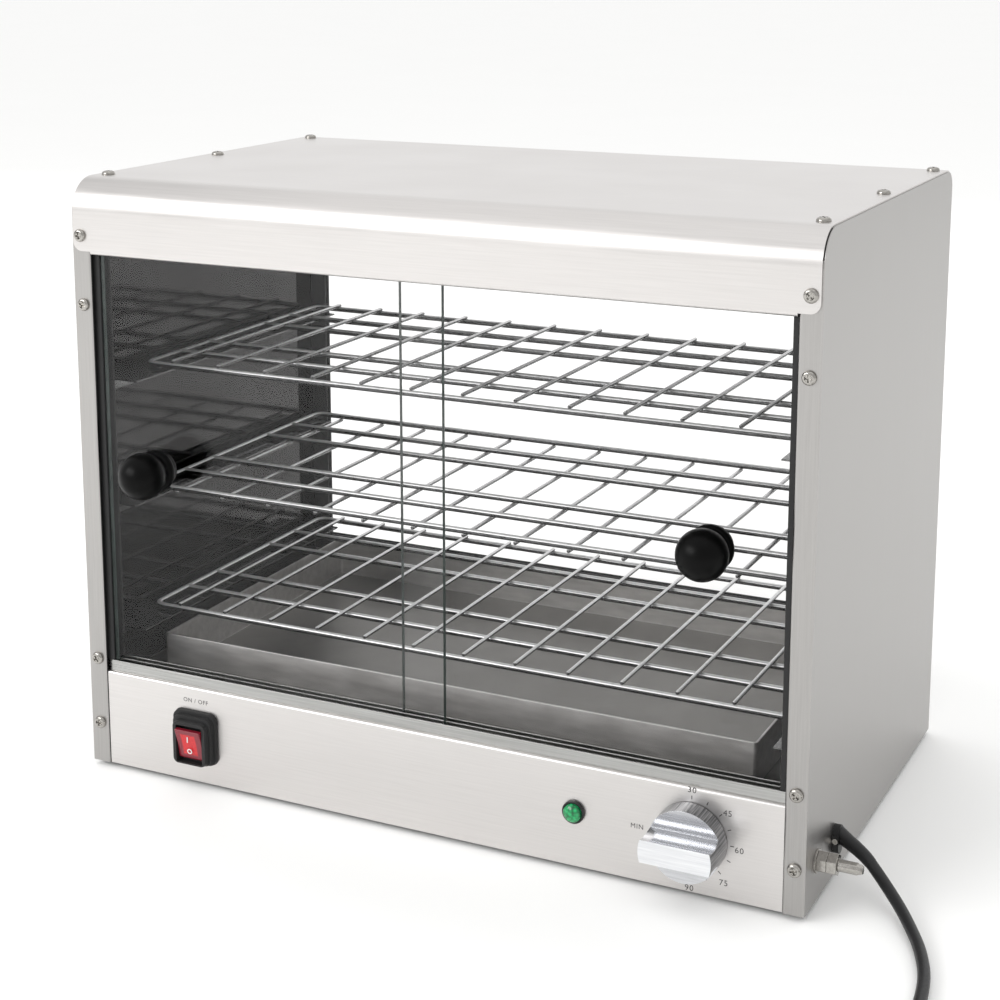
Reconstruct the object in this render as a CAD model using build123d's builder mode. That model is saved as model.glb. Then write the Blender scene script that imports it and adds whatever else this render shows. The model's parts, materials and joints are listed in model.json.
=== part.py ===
from build123d import *
import math
import os

# Countertop pie warmer cabinet: folded steel body, glass sliding doors, wire shelves, crumb tray.
# Millimetres. X is right, Y is back, Z is up, and the bench is at z = 0.

os.makedirs("parts", exist_ok=True)

# Body shell
width = 560.0
depth = 336.0
body_height = 446.0
foot_height = 4.0
sheet = 1.2
strip = 15.5
bend = 2.4
hood_face = 55.0
tab_lift = 2.5
tab_corner = 7.0
hood_front_radius = 24.0
hood_rear_radius = 14.0
hood_lip = 4.5
corner_ease = 0.6
side_gap = 0.3
cover_gap = 1.2
panel_height = 73.5
panel_return = 24.0
panel_skirt = 12.0
rear_panel_height = 84.0
deck_level = 57.0
deck_upstand = 13.0
ceiling_level = 410.0
ceiling_upstand = 10.0
pan_upstand = 14.0
vent_length = 40.0
vent_width = 4.0
vent_pitch = 12.0
vent_count = 7

# Sliding doors and their tracks
glass = 4.0
door_width = 278.0
door_overlap = 36.0
door_travel = 180.0
channel = 5.0
track_wall = 1.2
track_setback = 5.0
bottom_track_height = 8.0
top_track_height = 18.0
door_float = 0.3
door_engagement = 6.0
buffer_gap = 0.3
knob_inset = 49.0
knob_level = 237.0
ball_radius = 17.0
ball_standoff = 26.0
collar_radius = 10.0
collar_height = 3.0
neck_radius = 6.0
knob_screw_radius = 2.4
knob_bore_radius = 2.5
knob_bore_depth = 16.0
glass_hole_radius = 3.5
knob_screw_head = 1.4
knob_screw_head_radius = 5.0

# Rear glass and its rubber channel
seal_width = 14.5
seal_depth = 7.2
seal_margin = 0.8
seal_bite = 8.0
glass_play = 0.2

# Wire shelves and runners
shelf_levels = {"top": 296.0, "middle": 199.5, "bottom": 102.5}
shelf_centre = 30.0
shelf_depth = 250.0
shelf_half_width = 271.0
rim_wire = 4.5
thin_wire = 3.0
rim_bend = 8.0
weld_sink = 0.3
cross_offsets = (-80.0, -40.0, 40.0, 80.0)
thin_wire_pitch = 41.2
thin_wire_count = 13
runner_width = 31.0
runner_leg = 12.0
runner_front = -140.0
runner_back = 147.0
shelf_float = 0.3
shelf_lift = 70.0

# Crumb tray
tray_width = 476.0
tray_front = -118.0
tray_back = 147.0
tray_height = 33.0
tray_shift = -8.0
tray_sheet = 0.9
tray_hem = 1.8
tray_corner = 3.0
tray_float = 0.3

# Heating element under the deck
element_radius = 4.0
element_level = 34.0
element_half_length = 205.0
element_pitch = 60.0
element_bend = 28.0
element_terminal_radius = 2.0
element_clip_width = 12.0
element_clip_places = (-150.0, 0.0, 120.0)

# Control panel fittings, placed from the centre of the panel's lower edge
switch_place = (-186.0, 32.5)
switch_opening = (22.6, 28.6)
switch_corner = 1.0
switch_body_depth = 24.0
rocker_gap = 0.5
rocker_rise = 5.0
rocker_depth = 4.5
rocker_swing = 16.0
boot_steps = (
    (38.0, 41.0, 7.0, 0.0, 3.0, 3.0),
    (34.0, 37.5, 6.0, 3.0, 3.5, 2.0),
    (29.5, 34.0, 5.0, 6.5, 4.0, 0.8),
)
boot_taper = 12.0
boot_floor = 4.4
lamp_place = (118.5, 39.2)
lamp_hole_radius = 5.5
lamp_bezel_radius = 8.0
lamp_bezel_depth = 2.5
lamp_lens_radius = 6.3
lamp_lens_depth = 5.5
lens_gap = 0.1
lamp_body_depth = 24.0
thermostat_place = (202.0, 38.0)
thermostat_size = (46.0, 32.0, 26.0)
bush_radius = 5.0
bush_clearance = 0.3
shaft_radius = 3.0
shaft_clearance = 0.1
knob_radius = 25.0
knob_skirt = 15.0
knob_height = 26.0
knob_gap = 0.6
grip_width = 13.0
grip_scoop = 2.2
knob_edge = 1.2
bulb_radius = 3.5
bulb_length = 90.0
bulb_level = 250.0
bulb_gap = 2.8
bulb_setback = 5.0
capillary_hole_radius = 2.0
capillary_radius = 1.0

# Fixings
screw_head_radius = 4.8
screw_head_height = 2.6
screw_socket_radius = 2.0
screw_shank_radius = 2.45
screw_hole_radius = 2.6
screw_shank_length = 4.6
rear_screw_length = 3.2
strip_screw_inset = 7.5
front_screw_levels = (31.5, 82.7, 354.0)
tab_screw_level = 405.0
top_screw_inset = 10.5
top_screw_places = (-136.0, 6.0, 148.0)
rear_screw_levels = (20.0, 64.0)
foot_radius = 15.0
foot_inset = (42.0, 34.0)
foot_hole_radius = 2.6
foot_sink_radius = 6.0
foot_sink = 2.4

# Right side fittings
stud_place = (-143.0, 29.0)
stud_radius = 4.0
stud_core_radius = 3.8
stud_length = 31.0
stud_tip = 4.0
nut_across = 13.0
nut_height = 6.5
nut_gap = 0.1
washer_radius = 8.0
washer_height = 1.6
cord_radius = 4.0
clamp_exit = (12.0, -104.0, 26.0)
exit_heading = (0.883, -0.321, -0.342)
clamp_nose = 12.0
clamp_nose_radius = 4.8
clamp_root_radius = 5.8
clamp_size = (12.0, 20.0)
clamp_depth = 4.6
clamp_middle = (-102.0, 26.5)
clamp_screw_level = 27.0
clamp_screw_radius = 2.0
clamp_screw_head_height = 0.8
cord_hole_radius = 4.6

# Put-away coil and plug
coil_inner_radius = 34.0
coil_half_turns = 5
coil_step = 5.2
coil_layer = 8.6
coil_lead = 8.0
coil_tail = 28.0
lie_gap = 0.1
plug_width = 36.0
plug_length = 44.0
plug_neck = 14.0
plug_corner = 6.0
pin_length = 18.0
pin_width = 6.3
pin_thickness = 1.7
pin_spread = 9.5

# Planes through the cabinet. Its centre is set off so that the box round every fixed piece is centred.
front_y = -depth / 2
rear_y = depth / 2
left_glass_face = track_setback + track_wall + (channel - glass) / 2
right_glass_face = left_glass_face + track_wall + channel
knob_reach = ball_standoff + ball_radius - left_glass_face
centre_x = -stud_length / 2
centre_y = (knob_reach - screw_head_height) / 2
base = Plane(origin=(centre_x, centre_y, foot_height))
section = Plane(origin=(centre_x, centre_y, foot_height), x_dir=(0, 1, 0), z_dir=(1, 0, 0))
across = Plane(origin=(centre_x, centre_y, foot_height), x_dir=(1, 0, 0), z_dir=(0, -1, 0))
front = across.offset(depth / 2)
back = Plane(origin=(centre_x, centre_y + rear_y, foot_height), x_dir=(-1, 0, 0), z_dir=(0, 1, 0))
right = section.offset(width / 2)
inner_half = width / 2 - sheet
piece_half = inner_half - side_gap
opening_half = width / 2 - strip


def folded_sheet(points, radius, thickness=sheet):
    """Section through a folded sheet whose outer face follows the points, with its metal to the left."""
    with BuildSketch() as outline:
        with BuildLine():
            FilletPolyline(*points, radius=radius)
            offset(amount=thickness, side=Side.LEFT)
        make_face()
    return outline.sketch


def side_outline(inset, foot):
    """Side view of the body inside the cover, drawn in by an inset and open below at the given foot."""
    front_edge = front_y + sheet + inset
    rear_edge = rear_y - sheet - inset
    top_edge = body_height - sheet - inset
    front_corner = hood_front_radius - sheet + corner_ease - inset
    rear_corner = hood_rear_radius - sheet + corner_ease - inset
    with BuildSketch() as outline:
        with BuildLine():
            FilletPolyline(
                (front_edge, foot),
                (front_edge, top_edge),
                (rear_edge, top_edge),
                (rear_edge, foot),
                radius=[front_corner, rear_corner],
            )
            Line((front_edge, foot), (rear_edge, foot))
        make_face()
    return outline.sketch


def octagon(diameter):
    """Section of a wire, with flats above, below and at the sides."""
    with BuildSketch() as outline:
        RegularPolygon(diameter / 2, 8, major_radius=False, rotation=22.5)
    return outline.sketch


def mirrored(places):
    """The same places on both sides of the cabinet."""
    return [(side * x, y) for side in (-1, 1) for x, y in places]


# Side panels, each folded in at the front, top and back
front_screw_places = mirrored([(width / 2 - strip_screw_inset, z) for z in front_screw_levels])
tab_screw_places = mirrored([(width / 2 - strip_screw_inset, tab_screw_level)])
top_screw_spots = mirrored([(width / 2 - top_screw_inset, y) for y in top_screw_places])
rear_screw_places = mirrored([(width / 2 - strip_screw_inset, z) for z in rear_screw_levels])
roof = base.offset(body_height)

for side_name, side in (("left", -1), ("right", 1)):
    with BuildPart() as side_panel:
        with BuildSketch(section.offset(side * width / 2)):
            add(side_outline(0, 0))
        extrude(amount=-side * strip)
        fillet(side_panel.faces().filter_by(Axis.X).sort_by(Axis.X)[(side - 1) // 2].edges()
               .filter_by(lambda edge: edge.bounding_box().max.Z > foot_height + 1), bend)
        with BuildSketch(section.offset(side * inner_half)):
            add(side_outline(sheet, -1))
        extrude(amount=-side * strip, mode=Mode.SUBTRACT)
        with BuildSketch(front):
            with Locations(*front_screw_places, *tab_screw_places):
                Circle(screw_hole_radius)
        extrude(amount=-3 * sheet, mode=Mode.SUBTRACT)
        with BuildSketch(roof):
            with Locations(*top_screw_spots):
                Circle(screw_hole_radius)
        extrude(amount=-3 * sheet, mode=Mode.SUBTRACT)
        with BuildSketch(back):
            with Locations(*rear_screw_places, *tab_screw_places):
                Circle(screw_hole_radius)
        extrude(amount=-3 * sheet, mode=Mode.SUBTRACT)
        if side > 0:
            with BuildSketch(right):
                with Locations(stud_place):
                    Circle(stud_radius + nut_gap)
                with Locations(clamp_middle):
                    Circle(cord_hole_radius)
            extrude(amount=-2 * sheet, mode=Mode.SUBTRACT)
    side_panel.part.label = f"{side_name}_side_panel"
    export_step(side_panel.part, f"parts/{side_name}_side_panel.step")

# Top cover: rounded hood with a face and lip at the front and a plain drop at the back
hood_edge = body_height - hood_face
tab_edge = hood_edge + tab_lift
with BuildPart() as top_cover:
    with BuildSketch(section):
        add(folded_sheet(
            [(front_y, tab_edge), (front_y, body_height), (rear_y, body_height), (rear_y, tab_edge)][::-1],
            [hood_rear_radius, hood_front_radius],
        ))
    extrude(amount=width / 2 - cover_gap, both=True)
    fillet(top_cover.edges().filter_by(Axis.Y).group_by(Axis.Z)[0], tab_corner)
    with BuildSketch(section):
        add(folded_sheet(
            [(front_y + hood_lip, hood_edge), (front_y, hood_edge), (front_y, body_height),
             (rear_y, body_height), (rear_y, hood_edge)][::-1],
            [hood_rear_radius, hood_front_radius, bend],
        ))
    extrude(amount=opening_half - side_gap, both=True)
    with BuildSketch(front):
        with Locations(*tab_screw_places):
            Circle(screw_hole_radius)
    extrude(amount=-2 * sheet, mode=Mode.SUBTRACT)
    with BuildSketch(roof):
        with Locations(*top_screw_spots):
            Circle(screw_hole_radius)
    extrude(amount=-2 * sheet, mode=Mode.SUBTRACT)
    with BuildSketch(back):
        with Locations(*tab_screw_places):
            Circle(screw_hole_radius)
    extrude(amount=-2 * sheet, mode=Mode.SUBTRACT)
top_cover.part.label = "top_cover"
export_step(top_cover.part, "parts/top_cover.step")

# Ceiling panel, a shallow tray that closes the warm space and carries the top tracks
inner_front = front_y + 2 * sheet
inner_rear = rear_y - 2 * sheet
with BuildPart() as ceiling_panel:
    with BuildSketch(section):
        add(folded_sheet(
            [(inner_front, ceiling_level + ceiling_upstand), (inner_front, ceiling_level),
             (inner_rear, ceiling_level), (inner_rear, ceiling_level + ceiling_upstand)],
            bend,
        ))
    extrude(amount=piece_half, both=True)
ceiling_panel.part.label = "ceiling_panel"
export_step(ceiling_panel.part, "parts/ceiling_panel.step")

# Base pan with cooling slots
pan_front = inner_front + sheet
with BuildPart() as base_pan:
    with BuildSketch(section):
        add(folded_sheet(
            [(pan_front, pan_upstand), (pan_front, 0), (inner_rear, 0), (inner_rear, pan_upstand)],
            bend,
        ))
    extrude(amount=piece_half, both=True)
    foot_places = [
        (x * (width / 2 - foot_inset[0]), y * (depth / 2 - foot_inset[1])) for x in (-1, 1) for y in (-1, 1)
    ]
    with BuildSketch(base):
        with Locations(*foot_places):
            Circle(foot_hole_radius)
        with GridLocations(width / 3, vent_pitch, 2, vent_count):
            SlotOverall(vent_length, vent_width)
    extrude(amount=2 * sheet, mode=Mode.SUBTRACT)
base_pan.part.label = "base_pan"
export_step(base_pan.part, "parts/base_pan.step")

# Control panel with its openings
panel_face = front.offset(-2 * sheet)
bulb_place = (inner_half - bulb_gap - bulb_radius, runner_front - bulb_setback)
skirt_y = front_y + panel_return + 2 * sheet
with BuildPart() as control_panel:
    with BuildSketch(section):
        add(folded_sheet(
            [(inner_front, 0), (inner_front, panel_height), (skirt_y, panel_height),
             (skirt_y, panel_height - panel_skirt)][::-1],
            bend,
        ))
    extrude(amount=piece_half, both=True)
    with BuildSketch(panel_face):
        with Locations(switch_place):
            Rectangle(*switch_opening)
        with Locations(lamp_place):
            Circle(lamp_hole_radius)
        with Locations(thermostat_place):
            Circle(bush_radius + bush_clearance)
        with Locations(*front_screw_places):
            Circle(screw_hole_radius)
    extrude(amount=-2 * sheet, mode=Mode.SUBTRACT)
    with BuildSketch(base.offset(panel_height)):
        with Locations(bulb_place):
            Circle(capillary_hole_radius)
    extrude(amount=-2 * sheet, mode=Mode.SUBTRACT)
control_panel.part.label = "control_panel"
export_step(control_panel.part, "parts/control_panel.step")

# Rear panel, outside the back flanges
with BuildPart() as rear_panel:
    with BuildSketch(back):
        with Locations((0, rear_panel_height / 2)):
            Rectangle(2 * (width / 2 - cover_gap), rear_panel_height)
        with Locations(*rear_screw_places):
            Circle(screw_hole_radius, mode=Mode.SUBTRACT)
    extrude(amount=-sheet)
rear_panel.part.label = "rear_panel"
export_step(rear_panel.part, "parts/rear_panel.step")

# Floor deck between the control panel and the rear glass
seal_back = rear_y - 2 * sheet
seal_front = seal_back - seal_depth
seal_foot = rear_panel_height - seal_width + seal_margin * 5
with BuildPart() as floor_deck:
    with BuildSketch(section):
        add(folded_sheet(
            [(skirt_y, deck_level - sheet + deck_upstand), (skirt_y, deck_level - sheet),
             (seal_front + sheet, deck_level - sheet), (seal_front + sheet, seal_foot - sheet),
             (seal_back, seal_foot - sheet)],
            [bend, bend, sheet / 2],
        ))
    extrude(amount=piece_half, both=True)
floor_deck.part.label = "floor_deck"
export_step(floor_deck.part, "parts/floor_deck.step")

# Rear glass in a black rubber channel that runs round its edge
seal_outer = (2 * piece_half, ceiling_level - seal_foot)
seal_inner = (seal_outer[0] - 2 * seal_width, seal_outer[1] - 2 * seal_width)
seal_middle = seal_foot + seal_outer[1] / 2
seal_plane = Plane(origin=base.origin + Vector(0, seal_back, seal_middle), x_dir=(1, 0, 0), z_dir=(0, -1, 0))
glass_size = (seal_inner[0] + 2 * seal_bite, seal_inner[1] + 2 * seal_bite)
with BuildPart() as rear_glass_seal:
    with BuildSketch(seal_plane):
        Rectangle(*seal_outer)
        Rectangle(*seal_inner, mode=Mode.SUBTRACT)
    extrude(amount=seal_depth)
    with BuildSketch(seal_plane.offset((seal_depth - glass) / 2 - glass_play)):
        Rectangle(glass_size[0] + 2 * glass_play, glass_size[1] + 2 * glass_play)
    extrude(amount=glass + 2 * glass_play, mode=Mode.SUBTRACT)
    with BuildSketch(back):
        with Locations(*tab_screw_places):
            Circle(screw_hole_radius + glass_play)
    extrude(amount=-rear_screw_length - glass_play, mode=Mode.SUBTRACT)
rear_glass_seal.part.label = "rear_glass_seal"
export_step(rear_glass_seal.part, "parts/rear_glass_seal.step")

with BuildPart() as rear_glass:
    with BuildSketch(seal_plane.offset((seal_depth - glass) / 2)):
        Rectangle(*glass_size)
    extrude(amount=glass)
rear_glass.part.label = "rear_glass"
export_step(rear_glass.part, "parts/rear_glass.step")

# Door tracks: one base and three walls, two channels
track_depth = 3 * track_wall + 2 * channel
track_middle = front_y + track_setback + track_depth / 2
channel_places = [track_middle - (channel + track_wall) / 2, track_middle + (channel + track_wall) / 2]
with BuildPart() as bottom_track:
    with BuildSketch(section):
        with Locations((track_middle, panel_height + bottom_track_height / 2)):
            Rectangle(track_depth, bottom_track_height)
        with Locations(*[(y, panel_height + track_wall + bottom_track_height / 2) for y in channel_places]):
            Rectangle(channel, bottom_track_height, mode=Mode.SUBTRACT)
    extrude(amount=piece_half, both=True)
bottom_track.part.label = "bottom_track"
export_step(bottom_track.part, "parts/bottom_track.step")

with BuildPart() as top_track:
    with BuildSketch(section):
        with Locations((track_middle, ceiling_level - top_track_height / 2)):
            Rectangle(track_depth, top_track_height)
        with Locations(*[(y, ceiling_level - track_wall - top_track_height / 2) for y in channel_places]):
            Rectangle(channel, top_track_height, mode=Mode.SUBTRACT)
    extrude(amount=piece_half, both=True)
top_track.part.label = "top_track"
export_step(top_track.part, "parts/top_track.step")

# Rubber buffers behind the front strips, where the closed doors stop
door_edge = door_width - door_overlap / 2
buffer_foot = panel_height + bottom_track_height
buffer_head = ceiling_level - top_track_height
with BuildPart() as door_buffers:
    with BuildSketch(base.offset(buffer_foot)):
        with Locations(*mirrored([((door_edge + buffer_gap + piece_half) / 2, track_middle)])):
            Rectangle(piece_half - door_edge - buffer_gap, track_depth)
    extrude(amount=buffer_head - buffer_foot)
door_buffers.part.label = "door_buffers"
export_step(door_buffers.part, "parts/door_buffers.step")

# Doors: the left one runs in the front channel, the right one behind it
door_foot = panel_height + track_wall + door_float
door_head = ceiling_level - top_track_height + door_engagement
knob_x = door_edge - knob_inset
for door_name, side, face in (("left", -1, left_glass_face), ("right", 1, right_glass_face)):
    glass_front = front.offset(-face)
    knob_place = (side * knob_x, knob_level)
    with BuildPart() as door_glass:
        with BuildSketch(glass_front):
            with Locations((side * (door_edge - door_width / 2), (door_foot + door_head) / 2)):
                Rectangle(door_width, door_head - door_foot)
            with Locations(knob_place):
                Circle(glass_hole_radius, mode=Mode.SUBTRACT)
        extrude(amount=-glass)
    door_glass.part.label = f"{door_name}_door_glass"
    export_step(door_glass.part, f"parts/{door_name}_door_glass.step")

    knob_axis = Plane(origin=glass_front.from_local_coords((*knob_place, 0)), x_dir=(1, 0, 0), z_dir=(0, 0, -1))
    with BuildPart() as door_knob:
        with BuildSketch(knob_axis):
            with Locations((0, ball_standoff)):
                Circle(ball_radius)
            with Locations((0, ball_standoff / 2)):
                Rectangle(2 * neck_radius, ball_standoff)
            with Locations((0, collar_height / 2)):
                Rectangle(2 * collar_radius, collar_height)
            with Locations((0, knob_bore_depth / 2)):
                Rectangle(2 * knob_bore_radius, knob_bore_depth, mode=Mode.SUBTRACT)
            with Locations((-ball_radius, ball_standoff)):
                Rectangle(2 * ball_radius, 4 * ball_radius, mode=Mode.SUBTRACT)
        revolve(axis=Axis(knob_axis.origin, (0, -1, 0)))
    door_knob.part.label = f"{door_name}_door_knob"
    export_step(door_knob.part, f"parts/{door_name}_door_knob.step")

    with BuildPart() as knob_screw:
        with BuildSketch(glass_front.offset(-glass)):
            with Locations(knob_place):
                Circle(knob_screw_radius)
        extrude(amount=glass + knob_bore_depth - 2)
        with BuildSketch(glass_front.offset(-glass)):
            with Locations(knob_place):
                Circle(knob_screw_head_radius)
        extrude(amount=-knob_screw_head)
    knob_screw.part.label = f"{door_name}_knob_screw"
    export_step(knob_screw.part, f"parts/{door_name}_knob_screw.step")

# Wire shelves: a bent rim, thick cross wires and thin wires welded over them
rim_front = shelf_centre - shelf_depth / 2
rim_rear = shelf_centre + shelf_depth / 2
thin_places = [(i - (thin_wire_count - 1) / 2) * thin_wire_pitch for i in range(thin_wire_count)]
thin_rise = (rim_wire + thin_wire) / 2 - weld_sink
for shelf_name, level in shelf_levels.items():
    thin_side = -1 if shelf_name == "middle" else 1
    with BuildPart() as shelf:
        with BuildLine(base.offset(level)) as half_rim:
            FilletPolyline(
                (0, rim_front), (shelf_half_width, rim_front), (shelf_half_width, rim_rear), (0, rim_rear),
                radius=rim_bend,
            )
        with BuildSketch(section):
            with Locations((rim_front, level)):
                add(octagon(rim_wire))
        sweep(path=half_rim.line)
        mirror(about=section)
        with BuildSketch(section):
            with Locations(*[(shelf_centre + y, level) for y in cross_offsets]):
                add(octagon(rim_wire))
        extrude(amount=shelf_half_width, both=True)
        with BuildSketch(across.offset(-shelf_centre)):
            with Locations(*[(x, level + thin_side * thin_rise) for x in thin_places]):
                add(octagon(thin_wire))
        extrude(amount=shelf_depth / 2 + thin_wire / 3, both=True)
    shelf.part.label = f"{shelf_name}_shelf"
    export_step(shelf.part, f"parts/{shelf_name}_shelf.step")

    for side_name, side in (("left", -1), ("right", 1)):
        runner_top = level - rim_wire / 2 - shelf_float
        if thin_side < 0:
            runner_width_here = inner_half - thin_places[-1] - 2 * thin_wire
        else:
            runner_width_here = runner_width
        tip = side * (inner_half - runner_width_here)
        wall = side * inner_half
        leg = [(tip, runner_top), (wall, runner_top), (wall, runner_top - runner_leg)]
        with BuildPart() as runner:
            with BuildSketch(across.offset(-runner_front)):
                add(folded_sheet(leg[::-1] if side > 0 else leg, bend))
            extrude(amount=runner_front - runner_back)
        runner.part.label = f"{side_name}_{shelf_name}_runner"
        export_step(runner.part, f"parts/{side_name}_{shelf_name}_runner.step")

# Crumb tray with a hemmed rim
tray_depth = tray_back - tray_front
tray_floor = deck_level + tray_float
tray_plane = base.offset(tray_floor)
tray_middle = (tray_shift, (tray_front + tray_back) / 2)
with BuildPart() as crumb_tray:
    with BuildSketch(tray_plane):
        with Locations(tray_middle):
            RectangleRounded(tray_width, tray_depth, tray_corner)
    extrude(amount=tray_height)
    fillet(crumb_tray.faces().sort_by(Axis.Z)[0].edges(), bend)
    with BuildSketch(tray_plane.offset(tray_sheet)):
        with Locations(tray_middle):
            RectangleRounded(tray_width - 2 * tray_sheet, tray_depth - 2 * tray_sheet, tray_corner - tray_sheet)
    extrude(amount=tray_height, mode=Mode.SUBTRACT)
    with BuildSketch(tray_plane.offset(tray_height)):
        with Locations(tray_middle):
            RectangleRounded(tray_width, tray_depth, tray_corner)
            RectangleRounded(tray_width - 2 * tray_hem, tray_depth - 2 * tray_hem, tray_corner - tray_hem,
                             mode=Mode.SUBTRACT)
    extrude(amount=-2 * tray_hem)
crumb_tray.part.label = "crumb_tray"
export_step(crumb_tray.part, "parts/crumb_tray.step")

# Heating element: one bent tube in three passes, its ends turned down to the terminals
element_rows = [-element_pitch, 0, element_pitch]
element_route = [
    (element_half_length, element_rows[0]),
    (-element_half_length, element_rows[0]),
    (-element_half_length, element_rows[1]),
    (element_half_length - 2 * element_pitch / 3, element_rows[1]),
    (element_half_length - 2 * element_pitch / 3, element_rows[2]),
    (-element_half_length, element_rows[2]),
]
with BuildPart() as heating_element:
    with BuildLine(base.offset(element_level)) as element_path:
        FilletPolyline(*element_route, radius=element_bend)
    with BuildSketch(section.offset(element_half_length)):
        with Locations((element_rows[0], element_level)):
            Circle(element_radius)
    sweep(path=element_path.line)
    with BuildSketch(section.offset(element_half_length)):
        with Locations((element_rows[0], element_level)):
            Circle(element_terminal_radius)
    extrude(amount=3 * element_radius)
    with BuildSketch(section.offset(-element_half_length)):
        with Locations((element_rows[2], element_level)):
            Circle(element_terminal_radius)
    extrude(amount=-3 * element_radius)
heating_element.part.label = "heating_element"
export_step(heating_element.part, "parts/heating_element.step")

# Clips that hang the element from the deck
clip_drop = deck_level - sheet - element_level
with BuildPart() as element_clips:
    for x in element_clip_places:
        with BuildSketch(section.offset(x)):
            for y in element_rows:
                with Locations((y, element_level)):
                    Circle(element_radius + door_float + sheet)
                with Locations((y, element_level + clip_drop / 2)):
                    Rectangle(sheet * 2, clip_drop)
            for y in element_rows:
                with Locations((y, element_level)):
                    Circle(element_radius + door_float, mode=Mode.SUBTRACT)
        extrude(amount=element_clip_width / 2, both=True)
element_clips.part.label = "element_clips"
export_step(element_clips.part, "parts/element_clips.step")

# Switch: body behind the panel, a stepped rubber boot round the opening, and the rocker in its mouth
with BuildPart() as switch_body:
    with BuildSketch(panel_face.offset(-sheet)):
        with Locations(switch_place):
            Rectangle(switch_opening[0] + 2, switch_opening[1] + 2)
    extrude(amount=-switch_body_depth)
    with BuildSketch(panel_face.offset(-sheet)):
        with Locations(switch_place):
            Rectangle(switch_opening[0] - 2 * rocker_gap, switch_opening[1] - 2 * rocker_gap)
    extrude(amount=sheet)
    with BuildSketch(panel_face.offset(-sheet - switch_body_depth)):
        with Locations(*[(switch_place[0] + x, switch_place[1] + z) for x in (-6, 6) for z in (-8, 0, 8)]):
            Rectangle(0.8, 5)
    extrude(amount=-8)
switch_body.part.label = "switch_body"
export_step(switch_body.part, "parts/switch_body.step")

with BuildPart() as switch_boot:
    for step_width, step_height, step_corner, step_start, step_depth, step_lift in boot_steps:
        with BuildSketch(panel_face.offset(step_start)):
            with Locations((switch_place[0], switch_place[1] + step_lift)):
                RectangleRounded(step_width, step_height, step_corner)
        extrude(amount=step_depth, taper=boot_taper)
    with BuildSketch(panel_face.offset(boot_floor)):
        with Locations(switch_place):
            RectangleRounded(*switch_opening, switch_corner)
    extrude(amount=boot_steps[-1][3] + boot_steps[-1][4], mode=Mode.SUBTRACT)
switch_boot.part.label = "switch_boot"
export_step(switch_boot.part, "parts/switch_boot.step")

with BuildPart() as power_rocker:
    half = switch_opening[1] / 2 - rocker_gap
    swing = math.radians(rocker_swing)
    lean = half * math.tan(swing)
    # The upper end's outer corner swings in on an arc that stays the gap away from the opening's edge
    reach = (half - (rocker_depth + lean) * math.sin(swing)) / math.cos(swing)
    pivot_y = front_y + 2 * sheet - rocker_rise
    with BuildSketch(section.offset(switch_place[0])):
        with BuildLine():
            Polyline(
                (pivot_y, switch_place[1]),
                (pivot_y, switch_place[1] - reach),
                (pivot_y - rocker_depth / 2, switch_place[1] - reach),
                (pivot_y - rocker_depth, switch_place[1]),
                (pivot_y - rocker_depth - lean, switch_place[1] + reach),
                (pivot_y - lean, switch_place[1] + reach),
                (pivot_y, switch_place[1]),
            )
        make_face()
    extrude(amount=switch_opening[0] / 2 - rocker_gap, both=True)
power_rocker.part.label = "power_rocker"
export_step(power_rocker.part, "parts/power_rocker.step")

# Indicator lamp
with BuildPart() as lamp_body:
    with BuildSketch(panel_face):
        with Locations(lamp_place):
            Circle(lamp_bezel_radius)
    extrude(amount=lamp_bezel_depth)
    with BuildSketch(panel_face):
        with Locations(lamp_place):
            Circle(lamp_hole_radius - door_float)
    extrude(amount=-lamp_body_depth)
    with BuildSketch(panel_face.offset(lamp_bezel_depth)):
        with Locations(lamp_place):
            Circle(lamp_lens_radius + lens_gap)
    extrude(amount=-lamp_bezel_depth / 2, mode=Mode.SUBTRACT)
lamp_body.part.label = "lamp_body"
export_step(lamp_body.part, "parts/lamp_body.step")

lens_axis = Plane(
    origin=panel_face.from_local_coords((*lamp_place, lamp_bezel_depth / 2)), x_dir=(1, 0, 0), z_dir=(0, 0, -1)
)
with BuildPart() as lamp_lens:
    with BuildSketch(lens_axis):
        with BuildLine():
            Polyline((0, lamp_lens_depth), (0, 0), (lamp_lens_radius, 0), (lamp_lens_radius, lamp_lens_depth / 2))
            TangentArc((0, lamp_lens_depth), (lamp_lens_radius, lamp_lens_depth / 2), tangent=(1, 0))
        make_face()
    revolve(axis=Axis(lens_axis.origin, (0, -1, 0)))
lamp_lens.part.label = "lamp_lens"
export_step(lamp_lens.part, "parts/lamp_lens.step")

# Thermostat: body and bush behind the panel, a shaft through it and a bulb on the wall
with BuildPart() as thermostat_body:
    with BuildSketch(panel_face.offset(-sheet)):
        with Locations(thermostat_place):
            Rectangle(thermostat_size[0], thermostat_size[1])
    extrude(amount=-thermostat_size[2])
    fillet(thermostat_body.edges().filter_by(Axis.Y), 2)
    with BuildSketch(panel_face.offset(-sheet)):
        with Locations(thermostat_place):
            Circle(bush_radius)
    extrude(amount=sheet)
    with BuildSketch(panel_face):
        with Locations(thermostat_place):
            Circle(shaft_radius + shaft_clearance)
    extrude(amount=-thermostat_size[2] / 2, mode=Mode.SUBTRACT)
thermostat_body.part.label = "thermostat_body"
export_step(thermostat_body.part, "parts/thermostat_body.step")

with BuildPart() as thermostat_shaft:
    with BuildSketch(panel_face.offset(knob_gap + knob_skirt / 2)):
        with Locations(thermostat_place):
            Circle(shaft_radius)
    extrude(amount=-knob_gap - knob_skirt / 2 - thermostat_size[2] / 2 + 2)
thermostat_shaft.part.label = "thermostat_shaft"
export_step(thermostat_shaft.part, "parts/thermostat_shaft.step")

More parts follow.
